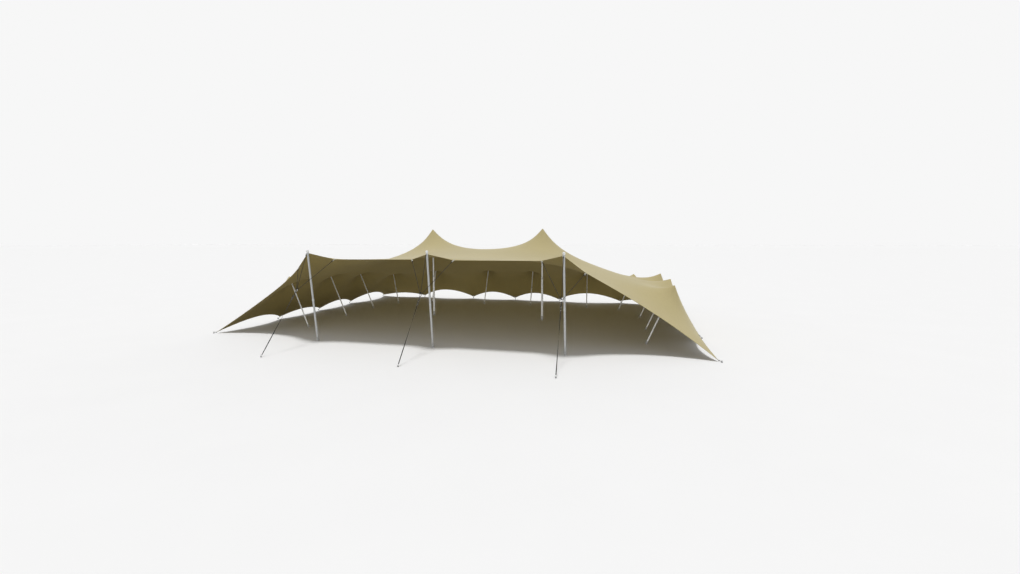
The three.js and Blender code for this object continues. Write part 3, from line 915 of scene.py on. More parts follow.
def add_boot(shape, base, along, radius):
    """Ribbed rubber foot, flat on the ground."""
    neck = math.pi - math.asin(BOOT_RIB / FOOT_FLARE)
    outline = ball_outline(0, FOOT_FLARE * radius, BALL_START, neck)
    pitch = (BOOT_TOP - BOOT_FROM) / BOOT_RIBS
    for rib in range(BOOT_RIBS):
        low = BOOT_FROM + rib * pitch
        high = low + BOOT_RIB_SHARE * pitch
        ridge = [(low, BOOT_RIB), (high, BOOT_RIB)]
        groove = [(high + BOOT_BEVEL, BOOT_GROOVE), (low + pitch - BOOT_BEVEL, BOOT_GROOVE)]
        outline += sized(ridge + groove, radius, radius)
    outline.append((BOOT_TOP * radius, BOOT_LIP * radius))
    lathe(shape, base, along, outline, POLE_SIDES, RUBBER)


def add_collar(shape, base, along, height, radius):
    """Clamp collar where the two tubes of a pole slide together, with its push pin."""
    outline = sized(COLLAR_OUTLINE, radius, radius, height)
    lathe(shape, base, along, outline, POLE_SIDES, COLLAR)
    side, _ = across_axes(along, SIDEWAYS)
    middle = base + unit(along) * (height + PIN_HEIGHT * radius)
    for turn in (-1, 1):
        start = middle + side * turn * radius * PIN_START
        lathe(shape, start, side * turn, sized(PIN_OUTLINE, radius, radius), PIN_SIDES, COLLAR)


def add_tubes(shape, foot, middle, radius, end):
    """Boot, lower tube, collar and upper tube, from the foot up to a height along the pole."""
    base = foot + UPWARD * FOOT_FLARE * radius * FOOT_SINK
    along = middle - base
    length = np.linalg.norm(along)
    joint = length * COLLAR_SHARE
    upper = radius * UPPER_SHARE
    add_boot(shape, base, along, radius)
    tube_from = TUBE_FROM * radius
    lathe(shape, base, along, [(tube_from, radius), (joint, radius)], POLE_SIDES, METAL)
    add_collar(shape, base, along, joint, radius)
    lathe(shape, base, along, [(joint, upper), (length - end, upper)], POLE_SIDES, METAL)
    return base, along, length


def make_pole(node, shape, slot):
    """Cuts the pole's foot flat at the ground and makes its piece."""
    for point in shape.points:
        point[2] = max(point[2], 0.0)
    finishes = [POLE_METALS[slot], grey_rubber, collar_metal, white_plastic]
    make_piece(f"{node}_tubes", shape, finishes, [node])


def add_pole(node):
    """A pole under a peak: two tubes and a rubber head that fills the peak."""
    kind = PEAK_POLES[slot_of(node)]
    radius, tip, taper = kind["radius"], kind["tip"], kind["taper"]
    middle, _, _ = head_middle(node)
    shape = Shape()
    base, along, length = add_tubes(shape, foot_of(node), middle, radius, taper)
    tip_angle = math.pi / 2 + math.asin((radius - tip) / taper)
    head = sized(HEAD_OUTLINE, taper, radius, length)
    head += ball_outline(length, tip, tip_angle, BALL_END)
    lathe(shape, base, along, head, POLE_SIDES, RUBBER)
    make_pole(node, shape, slot_of(node))


for node in PEAKS:
    add_pole(node)

# Rope, ring and webbing shapes
RING_STEPS = 40
WIRE_SIDES = 12


def torus(shape, centre, normal, radius, wire, finish, toward=UPWARD):
    """A closed ring of round wire, square to a normal."""
    path = centre + radius * circle(*across_axes(normal, toward), RING_STEPS)
    tube(shape, path, wire, WIRE_SIDES, finish, closed=True)


# A laid rope: length of one turn, and reach and radius of a strand, in shares of its radius
ROPE_LAY = 6.5
ROPE_STRANDS = 3
STEPS_A_LAY = 10
STRAND_REACH = 0.5
STRAND_RADIUS = 0.52
STRAND_SIDES = 6


def twisted_rope(shape, path, radius, finish):
    """Three strands laid round each other along a path."""
    lay = ROPE_LAY * radius
    steps = int(distances(path)[-1] / lay * STEPS_A_LAY)
    middle, at = points_along(path, max(4, steps))
    first, second = path_frames(middle)
    for strand in range(ROPE_STRANDS):
        out = turned(2 * math.pi * (at / lay + strand / ROPE_STRANDS), first, second)
        path = middle + STRAND_REACH * radius * out
        tube(shape, path, STRAND_RADIUS * radius, STRAND_SIDES, finish)


# A knot, in shares of the rope's radius: its eye, the wraps behind it and its tail
KNOT_WIRE = 0.62
KNOT_SIDES = 8
EYE_LONG = 2.6
EYE_WIDE = 1.9
EYE_PAST = 1.0
WRAP_TURNS = 3.2
WRAP_PITCH = 1.25
WRAP_REACH = 1.3
WRAP_FROM = 3.8
TAIL_LENGTH = 6
TAIL_BOW = 3
KNOT_LENGTH = 4.6
EYE_STEPS = 24
WRAP_STEPS = 46
TAIL_STEPS = 8


def knot(shape, eye, direction, radius, finish, tail=(0.6, 0.2)):
    """A rope's end: an eye round a wire, wraps round the rope, and a short tail."""
    direction = unit(direction)
    side, up = across_axes(direction)
    wire = KNOT_WIRE * radius
    middle = eye + direction * (EYE_LONG - EYE_PAST) * radius
    loop = middle + radius * circle(EYE_LONG * direction, EYE_WIDE * up, EYE_STEPS)
    tube(shape, loop, wire, KNOT_SIDES, finish, closed=True)
    steps = np.linspace(0, WRAP_TURNS, WRAP_STEPS)
    forward = direction * (WRAP_FROM + WRAP_PITCH * steps[:, None])
    wraps = eye + radius * (forward + WRAP_REACH * turned(2 * math.pi * steps, side, up))
    tube(shape, wraps, wire, KNOT_SIDES, finish)
    away = unit(side * tail[0] + up * tail[1] - UPWARD)
    bend = np.linspace(0, 1, TAIL_STEPS)[:, None]
    bow = TAIL_BOW * direction * bend * (1 - bend)
    end = wraps[-1] + radius * (TAIL_LENGTH * away * bend + bow)
    tube(shape, end, wire, KNOT_SIDES, finish)


def webbing_band(shape, path, wide, thick, sides, finish):
    """Flat webbing along a path. sides is its width direction at each point."""
    path = np.asarray(path, float)
    directions = unit(np.gradient(path, axis=0))
    sides = np.broadcast_to(np.asarray(sides, float), path.shape)
    sides = unit(sides - directions * np.sum(sides * directions, axis=1, keepdims=True))
    faces_out = np.cross(directions, sides)
    half, flat = wide / 2, thick / 2
    section = [(-half, 0), (-half + flat, -flat), (half - flat, -flat), (half, 0),
               (half - flat, flat), (-half + flat, flat)]
    rings = [at + np.array([a * side + b * out for a, b in section])
             for at, side, out in zip(path, sides, faces_out)]
    uvs = [(length, a) for length in distances(path) for a, _ in section]
    loft(shape, rings, finish, uvs=uvs)


# A plate's chamfer in shares of its thickness: how wide it is, and the level where it starts
CHAMFER = 0.3
CHAMFER_LEVEL = 0.3


def plate(shape, centre, normal, toward, outline, thick, finish):
    """A flat plate of a given outline with a small chamfer all round. Outline points are
    (along toward, square to it)."""
    side, up = across_axes(normal, toward)
    outline = np.array(outline, float)
    far = np.linalg.norm(outline, axis=1, keepdims=True).clip(thick)
    inner = outline * (1 - CHAMFER * thick / far)
    levels = [(inner, -0.5), (outline, -CHAMFER_LEVEL), (outline, CHAMFER_LEVEL), (inner, 0.5)]
    rings = [centre + ring[:, :1] * up - ring[:, 1:] * side + unit(normal) * level * thick
             for ring, level in levels]
    loft(shape, rings, finish)


# The webbing loops that hold the front edge, each with a ring in its fold
EAR_LOOP = 0.045
POLE_LOOP = 0.010
LOOP_LAP = 0.065
LOOP_LAP_END = 0.004
LOOP_WIDTH = 0.045
LOOP_FOLD_RADIUS = 0.0065
LOOP_RIM_ANGLES = (0.4, 0.9)
LAP_STEPS = 6
FOLD_STEPS = 9
D_RING_STEPS = 25
D_BAR_STEPS = 10
LOOP_RING_DEPTH = 0.030
LOOP_RING_WIRE = 0.004
HOOK_DROP = 0.04

# A front pole's head: its cap's skirt, the band below, and the hook and eye on that band
CAP_SKIRT = [(-1.1, 1.0), (-1.05, 1.12)]
CAP_NECK_SHARE = 1.15
BAND_DROP = 0.085
BAND_HEIGHT = 0.022
BAND_OUTLINE = [(0, 0.9), (0, 1.12), (1, 1.12), (1, 0.9)]
HOOK_WIRE = 0.007
HOOK_DIP = 0.10
CROOK_RADIUS = 0.014
CROOK_WIRE = 0.006
CROOK_TURN = 1.5 * math.pi
HOOK_STEPS = 16
CAP_STEPS = 14
EYE_RADIUS = 0.017
EYE_WIRE = 0.005
EYE_OUT = 0.012


def add_hook(shape, start, end, along, to_cloth, dip):
    """The bent wire from the band to the ring that holds the fabric, and the crook at its end."""
    bend = np.linspace(0, 1, HOOK_STEPS)[:, None]
    hook = start + (end - start) * bend - along * np.sin(bend * math.pi) * dip
    tube(shape, hook, HOOK_WIRE, WIRE_SIDES, COLLAR)
    curl = turned(np.linspace(0, CROOK_TURN, HOOK_STEPS), -along, to_cloth)
    tube(shape, end + CROOK_RADIUS * (along + curl), CROOK_WIRE, WIRE_SIDES, COLLAR)


def add_front_pole(side):
    """A front pole with a round white cap, and behind it the hook that holds the fabric's edge.
    Returns where the top rope's knot holds the eye."""
    node = f"front_pole_{side}"
    shape = Shape()
    top = place(FRONT_TOPS[side])
    base, along, length = add_tubes(shape, foot_of(node), top, FRONT_RADIUS, 0.0)
    neck = CAP_NECK_SHARE * math.asin(FRONT_RADIUS / FRONT_CAP_RADIUS)
    cap = sized(CAP_SKIRT, FRONT_CAP_RADIUS, FRONT_RADIUS, length)
    cap += ball_outline(length, FRONT_CAP_RADIUS, neck, BALL_END, CAP_STEPS)
    lathe(shape, base, along, cap, POLE_SIDES, WHITE)
    band = sized(BAND_OUTLINE, BAND_HEIGHT, FRONT_RADIUS, length - BAND_DROP)
    lathe(shape, base, along, band, POLE_SIDES, COLLAR)
    along = unit(along)
    hold = place(FRONT_HOLDS[f"{side}_pole"][1])
    band_middle = base + along * (length - BAND_DROP + BAND_HEIGHT / 2)
    to_cloth = unit(hold - band_middle)
    start = band_middle + to_cloth * FRONT_RADIUS
    end = hold - to_cloth * (POLE_LOOP + LOOP_RING_DEPTH)
    dip = HOOK_DIP * np.linalg.norm(hold - band_middle)
    add_hook(shape, start, end, along, to_cloth, dip)
    eye = band_middle - BACKWARD * (FRONT_RADIUS + EYE_OUT)
    torus(shape, eye, np.cross(to_cloth, along), EYE_RADIUS, EYE_WIRE, COLLAR, along)
    make_pole(node, shape, "front_pole")
    return eye - BACKWARD * EYE_RADIUS


# Guys
def guy_axes(side):
    """Ring, peg and the direction down from one to the other."""
    ring = place(GUY_RINGS[side])
    peg = place((*GUY_PEGS[side], PEG_HEIGHT / 2))
    return ring, peg, unit(peg - ring)


def add_rope(name, start, end, node):
    """A taut rope with a knot at each end."""
    shape = Shape()
    direction = unit(end - start)
    eye = direction * KNOT_LENGTH * ROPE_RADIUS
    twisted_rope(shape, [start + eye, end - eye], ROPE_RADIUS, 0)
    knot(shape, start, direction, ROPE_RADIUS, 0)
    knot(shape, end, -direction, ROPE_RADIUS, 0, (-0.5, 0.3))
    make_piece(name, shape, [rope_black], [node])


# A guy strap's finishes, and the end that is folded round the ring and sewn
STRAP, ZINC, THREAD, STEEL, GRIP = range(5)
FOLD_SHARE = 0.8
FOLD_NECK = 0.03
SEWN_LENGTH = 0.105
STITCH_ROWS = (0.055, 0.062, 0.088, 0.095)
STITCHES_IN_A_ROW = 7
STITCH_SPREAD = 0.42
STITCH_HALF = 0.0012
STITCH_RADIUS = 0.0005
STITCH_OUT = 1.35
STITCH_SIDES = 5
TWIST_STEPS = 60
INTO_BUCKLE = 0.86
OUT_OF_BUCKLE = 0.94
STRAP_END = 2.6 * PEG_RADIUS


def add_strap(side):
    """Webbing folded round the ring and sewn, a ratchet buckle, and the webbing to the peg."""
    ring, peg, down = guy_axes(side)
    level, out = across_axes(down, -BACKWARD)
    shape = Shape()
    torus(shape, ring, out, RING_RADIUS, RING_WIRE, ZINC, down)
    pin = ring + down * RING_RADIUS
    flat = out * STRAP_THICKNESS * FOLD_SHARE
    fold = flat + out * RING_WIRE
    neck = pin + down * FOLD_NECK
    path = np.vstack([
        [pin + down * SEWN_LENGTH + flat, neck + flat],
        half_round(pin + fold, pin - fold, -down),
        [neck - flat, pin + down * BUCKLE_FROM * INTO_BUCKLE - flat],
    ])
    webbing_band(shape, path, STRAP_WIDTH, STRAP_THICKNESS, level, STRAP)
    for row in STITCH_ROWS:
        stitch = pin + down * row + out * STRAP_THICKNESS * STITCH_OUT
        for share in np.linspace(-STITCH_SPREAD, STITCH_SPREAD, STITCHES_IN_A_ROW):
            middle = stitch + level * STRAP_WIDTH * share
            ends = [middle - level * STITCH_HALF, middle + level * STITCH_HALF]
            tube(shape, ends, STITCH_RADIUS, STITCH_SIDES, THREAD)
    add_ratchet(shape, ring, down, level, out)
    end = peg - down * STRAP_END
    middle, at = points_along([ring + down * BUCKLE_TO * OUT_OF_BUCKLE, end], TWIST_STEPS)
    half_turn = turned(math.pi * at / at[-1], level, out)
    webbing_band(shape, middle, STRAP_WIDTH, STRAP_THICKNESS, half_turn, STRAP)
    wrap_peg(shape, peg, end, level)
    finishes = [strap_black, zinc, pale_thread, dark_steel, grip_plastic]
    make_piece(f"guy_strap_{side}_webbing", shape, finishes, [f"guy_strap_{side}"])


# The webbing's loop round a peg and the lead to it, in shares of the strap's width and
# thickness, and how far in front of the strap's end the lead starts
WRAP_GAP = 0.6
WRAP_WIDTH = 0.7
LEAD_WIDTH = 0.8
LEAD_THICKNESS = 1.1
LEAD_START = 0.004
PEG_LOOP_STEPS = 26


def wrap_peg(shape, peg, start, level):
    """The webbing's end, folded narrower, and its loop round the peg's shank."""
    toward = unit([*(start - peg)[:2], 0.0])
    reach = PEG_RADIUS + STRAP_THICKNESS * WRAP_GAP
    turns = np.linspace(0.0, 2 * math.pi, PEG_LOOP_STEPS)
    loop = peg + reach * turned(turns, toward, np.cross(UPWARD, toward))
    webbing_band(shape, loop, STRAP_WIDTH * WRAP_WIDTH, STRAP_THICKNESS, UPWARD, STRAP)
    lead = [start + toward * LEAD_START, peg + toward * reach]
    thick = STRAP_THICKNESS * LEAD_THICKNESS
    webbing_band(shape, lead, STRAP_WIDTH * LEAD_WIDTH, thick, level, STRAP)


# Ratchet buckle: side plates, rods, drum, toothed wheels, lever and grip. Its shares are of its
# length, but a tooth's is of the wheel's radius and the grip's of the buckle's width. The grip's
# outline is (share of the grip's width, radius).
RATCHET_HALF_WIDTH = STRAP_WIDTH / 2 + 0.006
PLATE_SHARE = 0.56
PLATE_END_SHARE = 0.47
PLATE_HALF_HEIGHT = 0.013
PLATE_THICKNESS = 0.0026
PLATE_POINTS = 28
DRUM_SHARE = 0.05
DRUM_OUTLINE = [(0, 0.0095), (0.0015, 0.0112), (STRAP_WIDTH - 0.0015, 0.0112),
                (STRAP_WIDTH, 0.0095)]
DRUM_SIDES = 28
ROD_SHARES = (-0.38, DRUM_SHARE, 0.4)
ROD_SIDES = 16
ROD_PROUD = 0.003
ROD_LENGTH = 2 * (RATCHET_HALF_WIDTH + ROD_PROUD)
ROD_OUTLINE = [(0, 0.004), (0.001, 0.005), (ROD_LENGTH - 0.001, 0.005), (ROD_LENGTH, 0.004)]
WHEEL_TEETH = 11
WHEEL_RADIUS = 0.0138
WHEEL_THICKNESS = 0.0022
TOOTH_SHARE = 0.10
LEVER_SHARE = 0.52
LEVER_BEND_SHARE = 0.28
LEVER_LIFTS = (0.002, 0.011, 0.012)
LEVER_WIDTH = 0.013
LEVER_CLOSING = 0.93
LEVER_STEPS = 9
GRIP_SIDES = 20
GRIP_SHARE = 0.98
GRIP_OUTLINE = [(0, 0.005), (0.04, 0.0072), (0.28, 0.0078), (0.5, 0.0066), (0.72, 0.0078),
                (0.96, 0.0072), (1, 0.005)]


def add_ratchet(shape, ring, down, level, out):
    """Ratchet buckle: two side plates, a drum wound with webbing, and a lever with a grip."""
    length = BUCKLE_TO - BUCKLE_FROM
    middle = ring + down * (BUCKLE_FROM + length / 2)
    drum = middle + down * length * DRUM_SHARE
    half = RATCHET_HALF_WIDTH
    turns = np.arange(PLATE_POINTS) * 2 * math.pi / PLATE_POINTS
    ends = np.clip(PLATE_SHARE * np.cos(turns), -PLATE_END_SHARE, PLATE_END_SHARE) * length
    body = np.stack([ends, PLATE_HALF_HEIGHT * np.sin(turns)], -1)
    teeth = np.arange(2 * WHEEL_TEETH)
    reach = WHEEL_RADIUS * (1 + TOOTH_SHARE * (teeth % 2))
    angle = teeth * math.pi / WHEEL_TEETH
    wheel = np.stack([reach * np.cos(angle), reach * np.sin(angle)], -1)
    for share in ROD_SHARES:
        start = middle + down * length * share - level * (half + ROD_PROUD)
        lathe(shape, start, level, ROD_OUTLINE, ROD_SIDES, ZINC)
    lathe(shape, drum - level * STRAP_WIDTH / 2, level, DRUM_OUTLINE, DRUM_SIDES, STRAP)
    low, high, end_lift = LEVER_LIFTS
    lever_end = drum - down * length * LEVER_SHARE + out * end_lift
    for turn in (-1, 1):
        plate(shape, middle + level * turn * half, level, down, body, PLATE_THICKNESS, STEEL)
        inside = drum + level * turn * (half - ROD_PROUD)
        plate(shape, inside, level, down, wheel, WHEEL_THICKNESS, ZINC)
        aside = level * turn * (half + ROD_PROUD)
        bend = drum + aside - down * length * LEVER_BEND_SHARE + out * high
        arm = [drum + aside + out * low, bend, lever_end + aside * LEVER_CLOSING]
        lever, _ = points_along(arm, LEVER_STEPS)
        webbing_band(shape, lever, LEVER_WIDTH, PLATE_THICKNESS, out, STEEL)
    width = 2 * half * GRIP_SHARE
    grip = sized(GRIP_OUTLINE, width, 1.0)
    lathe(shape, lever_end - level * width / 2, level, grip, GRIP_SIDES, GRIP)


# Pegs: finishes, the shank in shares of its height and radius, the steel collar as (height
# from the top, share of the shank's radius), and where the cap's ball is cut, in its radius
PEG_STEEL, PEG_WHITE, PEG_ROPE = range(3)
SHANK_OUTLINE = [(0, 1.0), (0.5, 1.0), (1.0, 0.96)]
WASHER_OUTLINE = [(-0.018, 1.0), (-0.016, 1.7), (-0.012, 1.7), (-0.011, 1.0)]
CAP_CUT = 0.35
SHANK_SIDES = 20
WASHER_SIDES = 24
CAP_SIDES = 28
PEG_CAP_STEPS = 12


def add_stake(shape, foot):
    """Steel stake with a round white cap and a steel collar under it."""
    base = np.array([foot[0], foot[1], 0.0])
    shank = sized(SHANK_OUTLINE, PEG_HEIGHT, PEG_RADIUS)
    lathe(shape, base, UPWARD, shank, SHANK_SIDES, PEG_STEEL)
    washer = sized(WASHER_OUTLINE, 1.0, PEG_RADIUS, PEG_HEIGHT)
    lathe(shape, base, UPWARD, washer, WASHER_SIDES, PEG_STEEL)
    cap = [(PEG_HEIGHT - CAP_CUT * PEG_CAP_RADIUS, PEG_RADIUS)]
    cut = math.acos(CAP_CUT)
    cap += ball_outline(PEG_HEIGHT, PEG_CAP_RADIUS, cut, BALL_END, PEG_CAP_STEPS)
    lathe(shape, base, UPWARD, cap, CAP_SIDES, PEG_WHITE)


def make_peg(node, shape, *finishes):
    make_piece(f"{node}_stake", shape, [zinc, white_plastic, *finishes], [node])


def add_guy_peg(side):
    shape = Shape()
    add_stake(shape, place((*GUY_PEGS[side], 0)))
    make_peg(f"guy_peg_{side}", shape)


def away_from_tent(at):
    """Level direction from the tent's middle to a point of its hem."""
    return unit([at[0] - TENT_MIDDLE[0], at[1] - TENT_MIDDLE[1], 0.0])


# The rope that ties a low point of the hem to its peg: two turns round the peg, and a ring
TIE_HEIGHT_SHARE = 0.42
TIE_DROPS = (0.0, 0.0075)
TIE_TURN_OUT = 0.8
TIE_TURN_WIRE = 0.9
TIE_END = 0.022
LEAST_TIE = 0.02
TIE_RING_AT = 0.012
TIE_RING_RADIUS = 0.016
TIE_RING_WIRE = 0.0042


def add_hem_peg(name, at):
    """A hem peg with the rope that ties the fabric's low point to it."""
    away = away_from_tent(at)
    foot = place((at[0], at[1], 0)) + away * PEG_REACH
    hold = place(at)
    shape = Shape()
    add_stake(shape, foot)
    knot_at = foot + UPWARD * PEG_HEIGHT * TIE_HEIGHT_SHARE
    reach = PEG_RADIUS + TIE_RADIUS * TIE_TURN_OUT
    for drop in TIE_DROPS:
        middle = knot_at - UPWARD * drop
        torus(shape, middle, UPWARD, reach, TIE_RADIUS * TIE_TURN_WIRE, PEG_ROPE, BACKWARD)
    start = knot_at - away * (PEG_RADIUS + TIE_RADIUS)
    end = hold + away * TIE_END
    if np.linalg.norm(end - start) > LEAST_TIE:
        twisted_rope(shape, [start, end], TIE_RADIUS, PEG_ROPE)
    ring = hold + away * TIE_RING_AT
    torus(shape, ring, np.cross(away, UPWARD), TIE_RING_RADIUS, TIE_RING_WIRE, PEG_ROPE, away)
    make_peg(f"hem_peg_{name}", shape, rope_black)


# Pale tabs sewn on where the fabric is held, each with a steel ring
TAB_WEBBING, TAB_RING = range(2)
HEM_WIDTH = 0.038
HEM_PROUD = 0.0012
HEM_BEVEL = 0.97
HEM_SINK = 0.6
HEM_TOP_STRIPS = 3
TAB_LENGTH = 0.11
TAB_WIDTH = 0.055
TAB_THICKNESS = 0.0022
TAB_ROWS = 9
TAB_COLUMNS = 7
TAB_SINK = 0.0004
TAB_RING_AT = 0.004
TAB_RING_RADIUS = 0.013
TAB_RING_WIRE = 0.003
NEAR_EDGE = 0.1
TRIAL_STEP = 0.06
TRIAL_BESIDE = 0.05
LEAST_SCALE = 0.2


def edge_frame(cloth, inward):
    """Cloth steps of one metre inward and along the edge at a held point."""
    middle = np.array(cloth_middle(cloth))
    inward = unit(inward)
    beside = np.array([-inward[1], inward[0]])
    inside = middle + inward * TRIAL_STEP
    along_scale = np.linalg.norm(cloth_at(*inside) - cloth_at(*middle)) / TRIAL_STEP
    left = cloth_at(*(inside - beside * TRIAL_STEP))
    right = cloth_at(*(inside + beside * TRIAL_STEP))
    beside_scale = np.linalg.norm(right - left) / (2 * TRIAL_STEP)
    return middle, inward / along_scale, beside / max(beside_scale, LEAST_SCALE)


def add_tab(shape, cloth, inward):
    """A webbing tab folded over the fabric's edge: one layer on top and one below."""
    start, step_in, step_beside = edge_frame(cloth, inward)
    depth = np.linspace(0, TAB_LENGTH, TAB_ROWS)
    spread = np.linspace(-TAB_WIDTH / 2, TAB_WIDTH / 2, TAB_COLUMNS)
    flat = np.stack(np.meshgrid(depth, spread, indexing="ij"), -1).reshape(-1, 2)
    u, v = (start + flat[:, :1] * step_in + flat[:, 1:] * step_beside).T
    u = np.clip(u, -CLOTH_HALF_WIDTH, CLOTH_HALF_WIDTH)
    v = np.clip(v, 0, CLOTH_DEPTH)
    close = FABRIC_THICKNESS / 2
    proud = close + HEM_PROUD + TAB_THICKNESS
    sunk = close - TAB_SINK
    index = np.arange(len(flat)).reshape(TAB_ROWS, TAB_COLUMNS).T
    for upper, lower in ((proud, sunk), (-sunk, -proud)):
        layers = [cloth_at(u, v, upper), cloth_at(u, v, lower)]
        add_sheet(shape, *layers, index, grid_quads(index), TAB_WEBBING, flat)


def tab_inward(cloth):
    """The direction into the cloth from a held point on its edge."""
    u, v = cloth
    across = -np.sign(u) if abs(u) > CLOTH_HALF_WIDTH - NEAR_EDGE else 0.0
    along = 1.0 if v < NEAR_EDGE else (-1.0 if v > CLOTH_DEPTH - NEAR_EDGE else 0.0)
    return across, along


def d_ring(shape, middle, bar, pull):
    """A steel ring with one straight side, which lies in a fold of webbing."""
    half = LOOP_WIDTH / 2 + LOOP_RING_WIRE
    arc = turned(np.linspace(0, math.pi, D_RING_STEPS), half * bar, LOOP_RING_DEPTH * pull)
    straight = np.linspace(-1, 1, D_BAR_STEPS)[1:-1, None] * half * bar
    path = middle + np.vstack([arc, straight])
    tube(shape, path, LOOP_RING_WIRE, WIRE_SIDES, TAB_RING, closed=True)


def add_loop(shape, cloth, at, toward, reach):
    """Webbing sewn over the fabric's edge and folded round a ring that is pulled toward a point."""
    u, v = cloth_middle(cloth)
    close = FABRIC_THICKNESS / 2 + HEM_PROUD + TAB_THICKNESS
    pull = unit(toward - place(at))
    start, step_in, _ = edge_frame(cloth, (0, 1))
    along_edge = unit(cloth_at(u + TRIAL_BESIDE, v) - cloth_at(u - TRIAL_BESIDE, v))
    edge = cloth_at(u, v)
    normal = unit(cloth_at(u, v, 1.0) - edge)
    outward = unit(edge - cloth_at(*(start + LOOP_LAP * step_in)))
    bar = unit(np.cross(pull, normal))
    bar *= np.sign(bar @ along_edge)
    fold = unit(normal - pull * (normal @ pull)) * LOOP_FOLD_RADIUS
    laps = np.linspace(LOOP_LAP, LOOP_LAP_END, LAP_STEPS)
    over = [cloth_at(*(start + lap * step_in), close) for lap in laps]
    under = [cloth_at(*(start + lap * step_in), -close) for lap in reversed(laps)]
    rim = edge + close * turned(LOOP_RIM_ANGLES, normal, outward)
    end = place(at) + pull * reach
    wrap = half_round(end + fold, end - fold, pull, FOLD_STEPS)
    path = np.vstack([over, rim, wrap, under])
    flat_sides = [along_edge] * (len(over) + len(rim))
    sides = np.array(flat_sides + [bar] * len(wrap) + [along_edge] * len(under))
    webbing_band(shape, path, LOOP_WIDTH, TAB_THICKNESS, sides, TAB_WEBBING)
    d_ring(shape, end, bar, pull)


def ear_ring(side, ear):
    """Where a rope's knot holds the ring of an ear's loop."""
    at = place(FRONT_HOLDS[f"{side}_{ear}"][1])
    reach = EAR_LOOP + LOOP_RING_DEPTH - LOOP_RING_WIRE
    return at + unit(place(GUY_RINGS[side]) - at) * reach


def add_tabs():
    """Every tab, loop and steel ring, as one piece on the canopy."""
    shape = Shape()
    for cloth, at in HEM_HOLDS.values():
        add_tab(shape, cloth, tab_inward(cloth))
        away = away_from_tent(at)
        ring = place(at) + away * TAB_RING_AT
        square = np.cross(away, UPWARD)
        torus(shape, ring, square, TAB_RING_RADIUS, TAB_RING_WIRE, TAB_RING, away)
    for name, (cloth, at) in FRONT_HOLDS.items():
        side = name.split("_")[0]
        if "ear" in name:
            add_loop(shape, cloth, at, place(GUY_RINGS[side]), EAR_LOOP)
        else:
            add_loop(shape, cloth, at, place(FRONT_TOPS[side]) - UPWARD * HOOK_DROP, POLE_LOOP)
    return make_piece("canopy_tabs", shape, [pale_webbing, zinc], [])


def add_hem():
    """The sewn hem: a doubled band of the same fabric all round the cloth's edge."""
    row, column = np.divmod(grid_rim(CLOTH_INDEX), len(ACROSS))
    edge = cloth_points[row, column]
    inner_row = np.clip(row, 1, len(ALONG) - 2)
    inner_column = np.clip(column, 1, len(ACROSS) - 2)
    inward = unit(cloth_points[inner_row, inner_column] - edge)
    normal = cloth_normals[row, column]
    close = FABRIC_THICKNESS / 2
    proud = close + HEM_PROUD
    bevel = HEM_WIDTH * HEM_BEVEL
    sunk = close * HEM_SINK
    section = [(HEM_WIDTH, sunk), (bevel, proud), (0.0, proud), (-HEM_PROUD, 0.0),
               (0.0, -proud), (bevel, -proud), (HEM_WIDTH, -sunk)]
    rings = np.stack([edge + deep * inward + lift * normal for deep, lift in section], 1)
    lengths = np.cumsum(np.linalg.norm(np.roll(edge, 1, 0) - edge, axis=1))
    uvs = [(length, deep) for length in lengths for deep, _ in section]
    shape = Shape()
    loft(shape, rings, 0, closed=True, uvs=uvs)
    # The lower strips take the underside's colour, which is darker partly as painted shade
    strips = [face % len(section) for face in range(len(shape.faces))]
    shape.finishes = [0 if strip < HEM_TOP_STRIPS else 1 for strip in strips]
    finishes = [hem_top, hem_under]
    return make_piece("canopy_hem", shape, finishes, [], FABRIC_SHARP_ANGLE)


for side in GUY_RINGS:
    rope_eye = add_front_pole(side)
    ring_at, _, _ = guy_axes(side)
    for goal_name in ("top", "ear_left", "ear_right"):
        goal = rope_eye if goal_name == "top" else ear_ring(side, goal_name)
        start_at = ring_at + unit(goal - ring_at) * RING_RADIUS
        add_rope(f"rope_{side}_{goal_name}_laid", start_at, goal, f"rope_{side}_{goal_name}")
    add_strap(side)
    add_guy_peg(side)
for name, (_, hold_at) in HEM_HOLDS.items():
    add_hem_peg(name, hold_at)
canopy_tabs = add_tabs()
canopy_hem = add_hem()

# Floor, light and background
FLOOR_REACH = 400.0
FLOOR_TONE = 0.858
FLOOR_VARY = 0.01
FLOOR_CLOUDS = 0.6
SKY_LOW_LIGHT = 0.80
SKY_HIGH_LIGHT = 0.38
SKY_TURN = (0.32, 0.52)
BACKDROP_LIGHT = 0.93
SUN_LIGHT = 1.98
SUN_SOFTNESS = 10.0
SUN_AT = (0, 0, 10)
BOUNCE_SIZE = (14.5, 10.6)
BOUNCE_AT = (0.0, 6.3, 0.02)
BOUNCE_POWER = 152.0


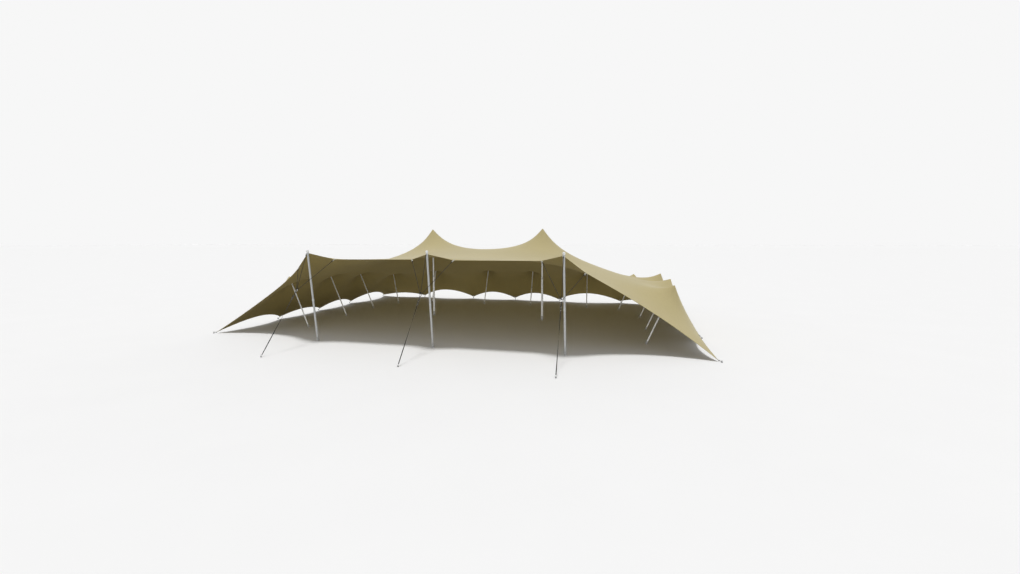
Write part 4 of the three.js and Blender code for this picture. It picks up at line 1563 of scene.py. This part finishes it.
def add_floor():
    """A plain pale floor."""
    mesh = bpy.data.meshes.new("floor")
    signs = [(-1, -1), (1, -1), (1, 1), (-1, 1)]
    corners = [(x * FLOOR_REACH, y * FLOOR_REACH, 0) for x, y in signs]
    mesh.from_pydata(corners, [], [(0, 1, 2, 3)])
    n = Nodes(bpy.data.materials.new("floor"))
    tone = n.noise(n.where(), FLOOR_CLOUDS)
    pale = n.mix(tone, grey(FLOOR_TONE - FLOOR_VARY), grey(FLOOR_TONE + FLOOR_VARY))
    n.shade(Base_Color=pale, Roughness=0.95, Specular_IOR_Level=0.1)
    mesh.materials.append(n.owner)
    floor = add_object("floor", mesh)


def add_sky():
    """A sky that is brighter low down, and a plain backdrop where the camera sees past it."""
    world = bpy.data.worlds.new("studio")
    bpy.context.scene.world = world
    n = Nodes(world)
    _, _, height = n.parts(n.add("ShaderNodeTexCoord").outputs["Generated"])
    sky = n.tree.nodes["Background"]
    n.set(sky, "Color", grey(1.0))
    n.set(sky, "Strength", n.spread(height, *SKY_TURN, SKY_LOW_LIGHT, SKY_HIGH_LIGHT))
    backdrop = n.add("ShaderNodeBackground", {"Color": grey(1.0), "Strength": BACKDROP_LIGHT})
    seen = n.add("ShaderNodeLightPath").outputs["Is Camera Ray"]
    choice = n.add("ShaderNodeMixShader", {0: seen, 1: sky.outputs[0], 2: backdrop.outputs[0]})
    n.set(n.tree.nodes["World Output"], "Surface", choice.outputs[0])


def add_lamp(name, kind, energy, at, turn, **settings):
    data = bpy.data.lights.new(name, kind)
    data.energy = energy
    for key, value in settings.items():
        setattr(data, key, value)
    lamp = add_object(name, data)
    lamp.location = at
    lamp.rotation_euler = (turn, 0, 0)
    lamp.visible_camera = False


def add_lights():
    """Soft light from straight above, and light thrown back up by the ground."""
    add_lamp("overhead", "SUN", SUN_LIGHT, SUN_AT, 0, angle=math.radians(SUN_SOFTNESS))
    wide, deep = BOUNCE_SIZE
    at = place(BOUNCE_AT)
    add_lamp("bounce", "AREA", BOUNCE_POWER, at, math.pi, shape="RECTANGLE", size=wide, size_y=deep)
    bpy.context.scene.view_settings.view_transform = "Standard"


add_floor()
add_sky()
add_lights()
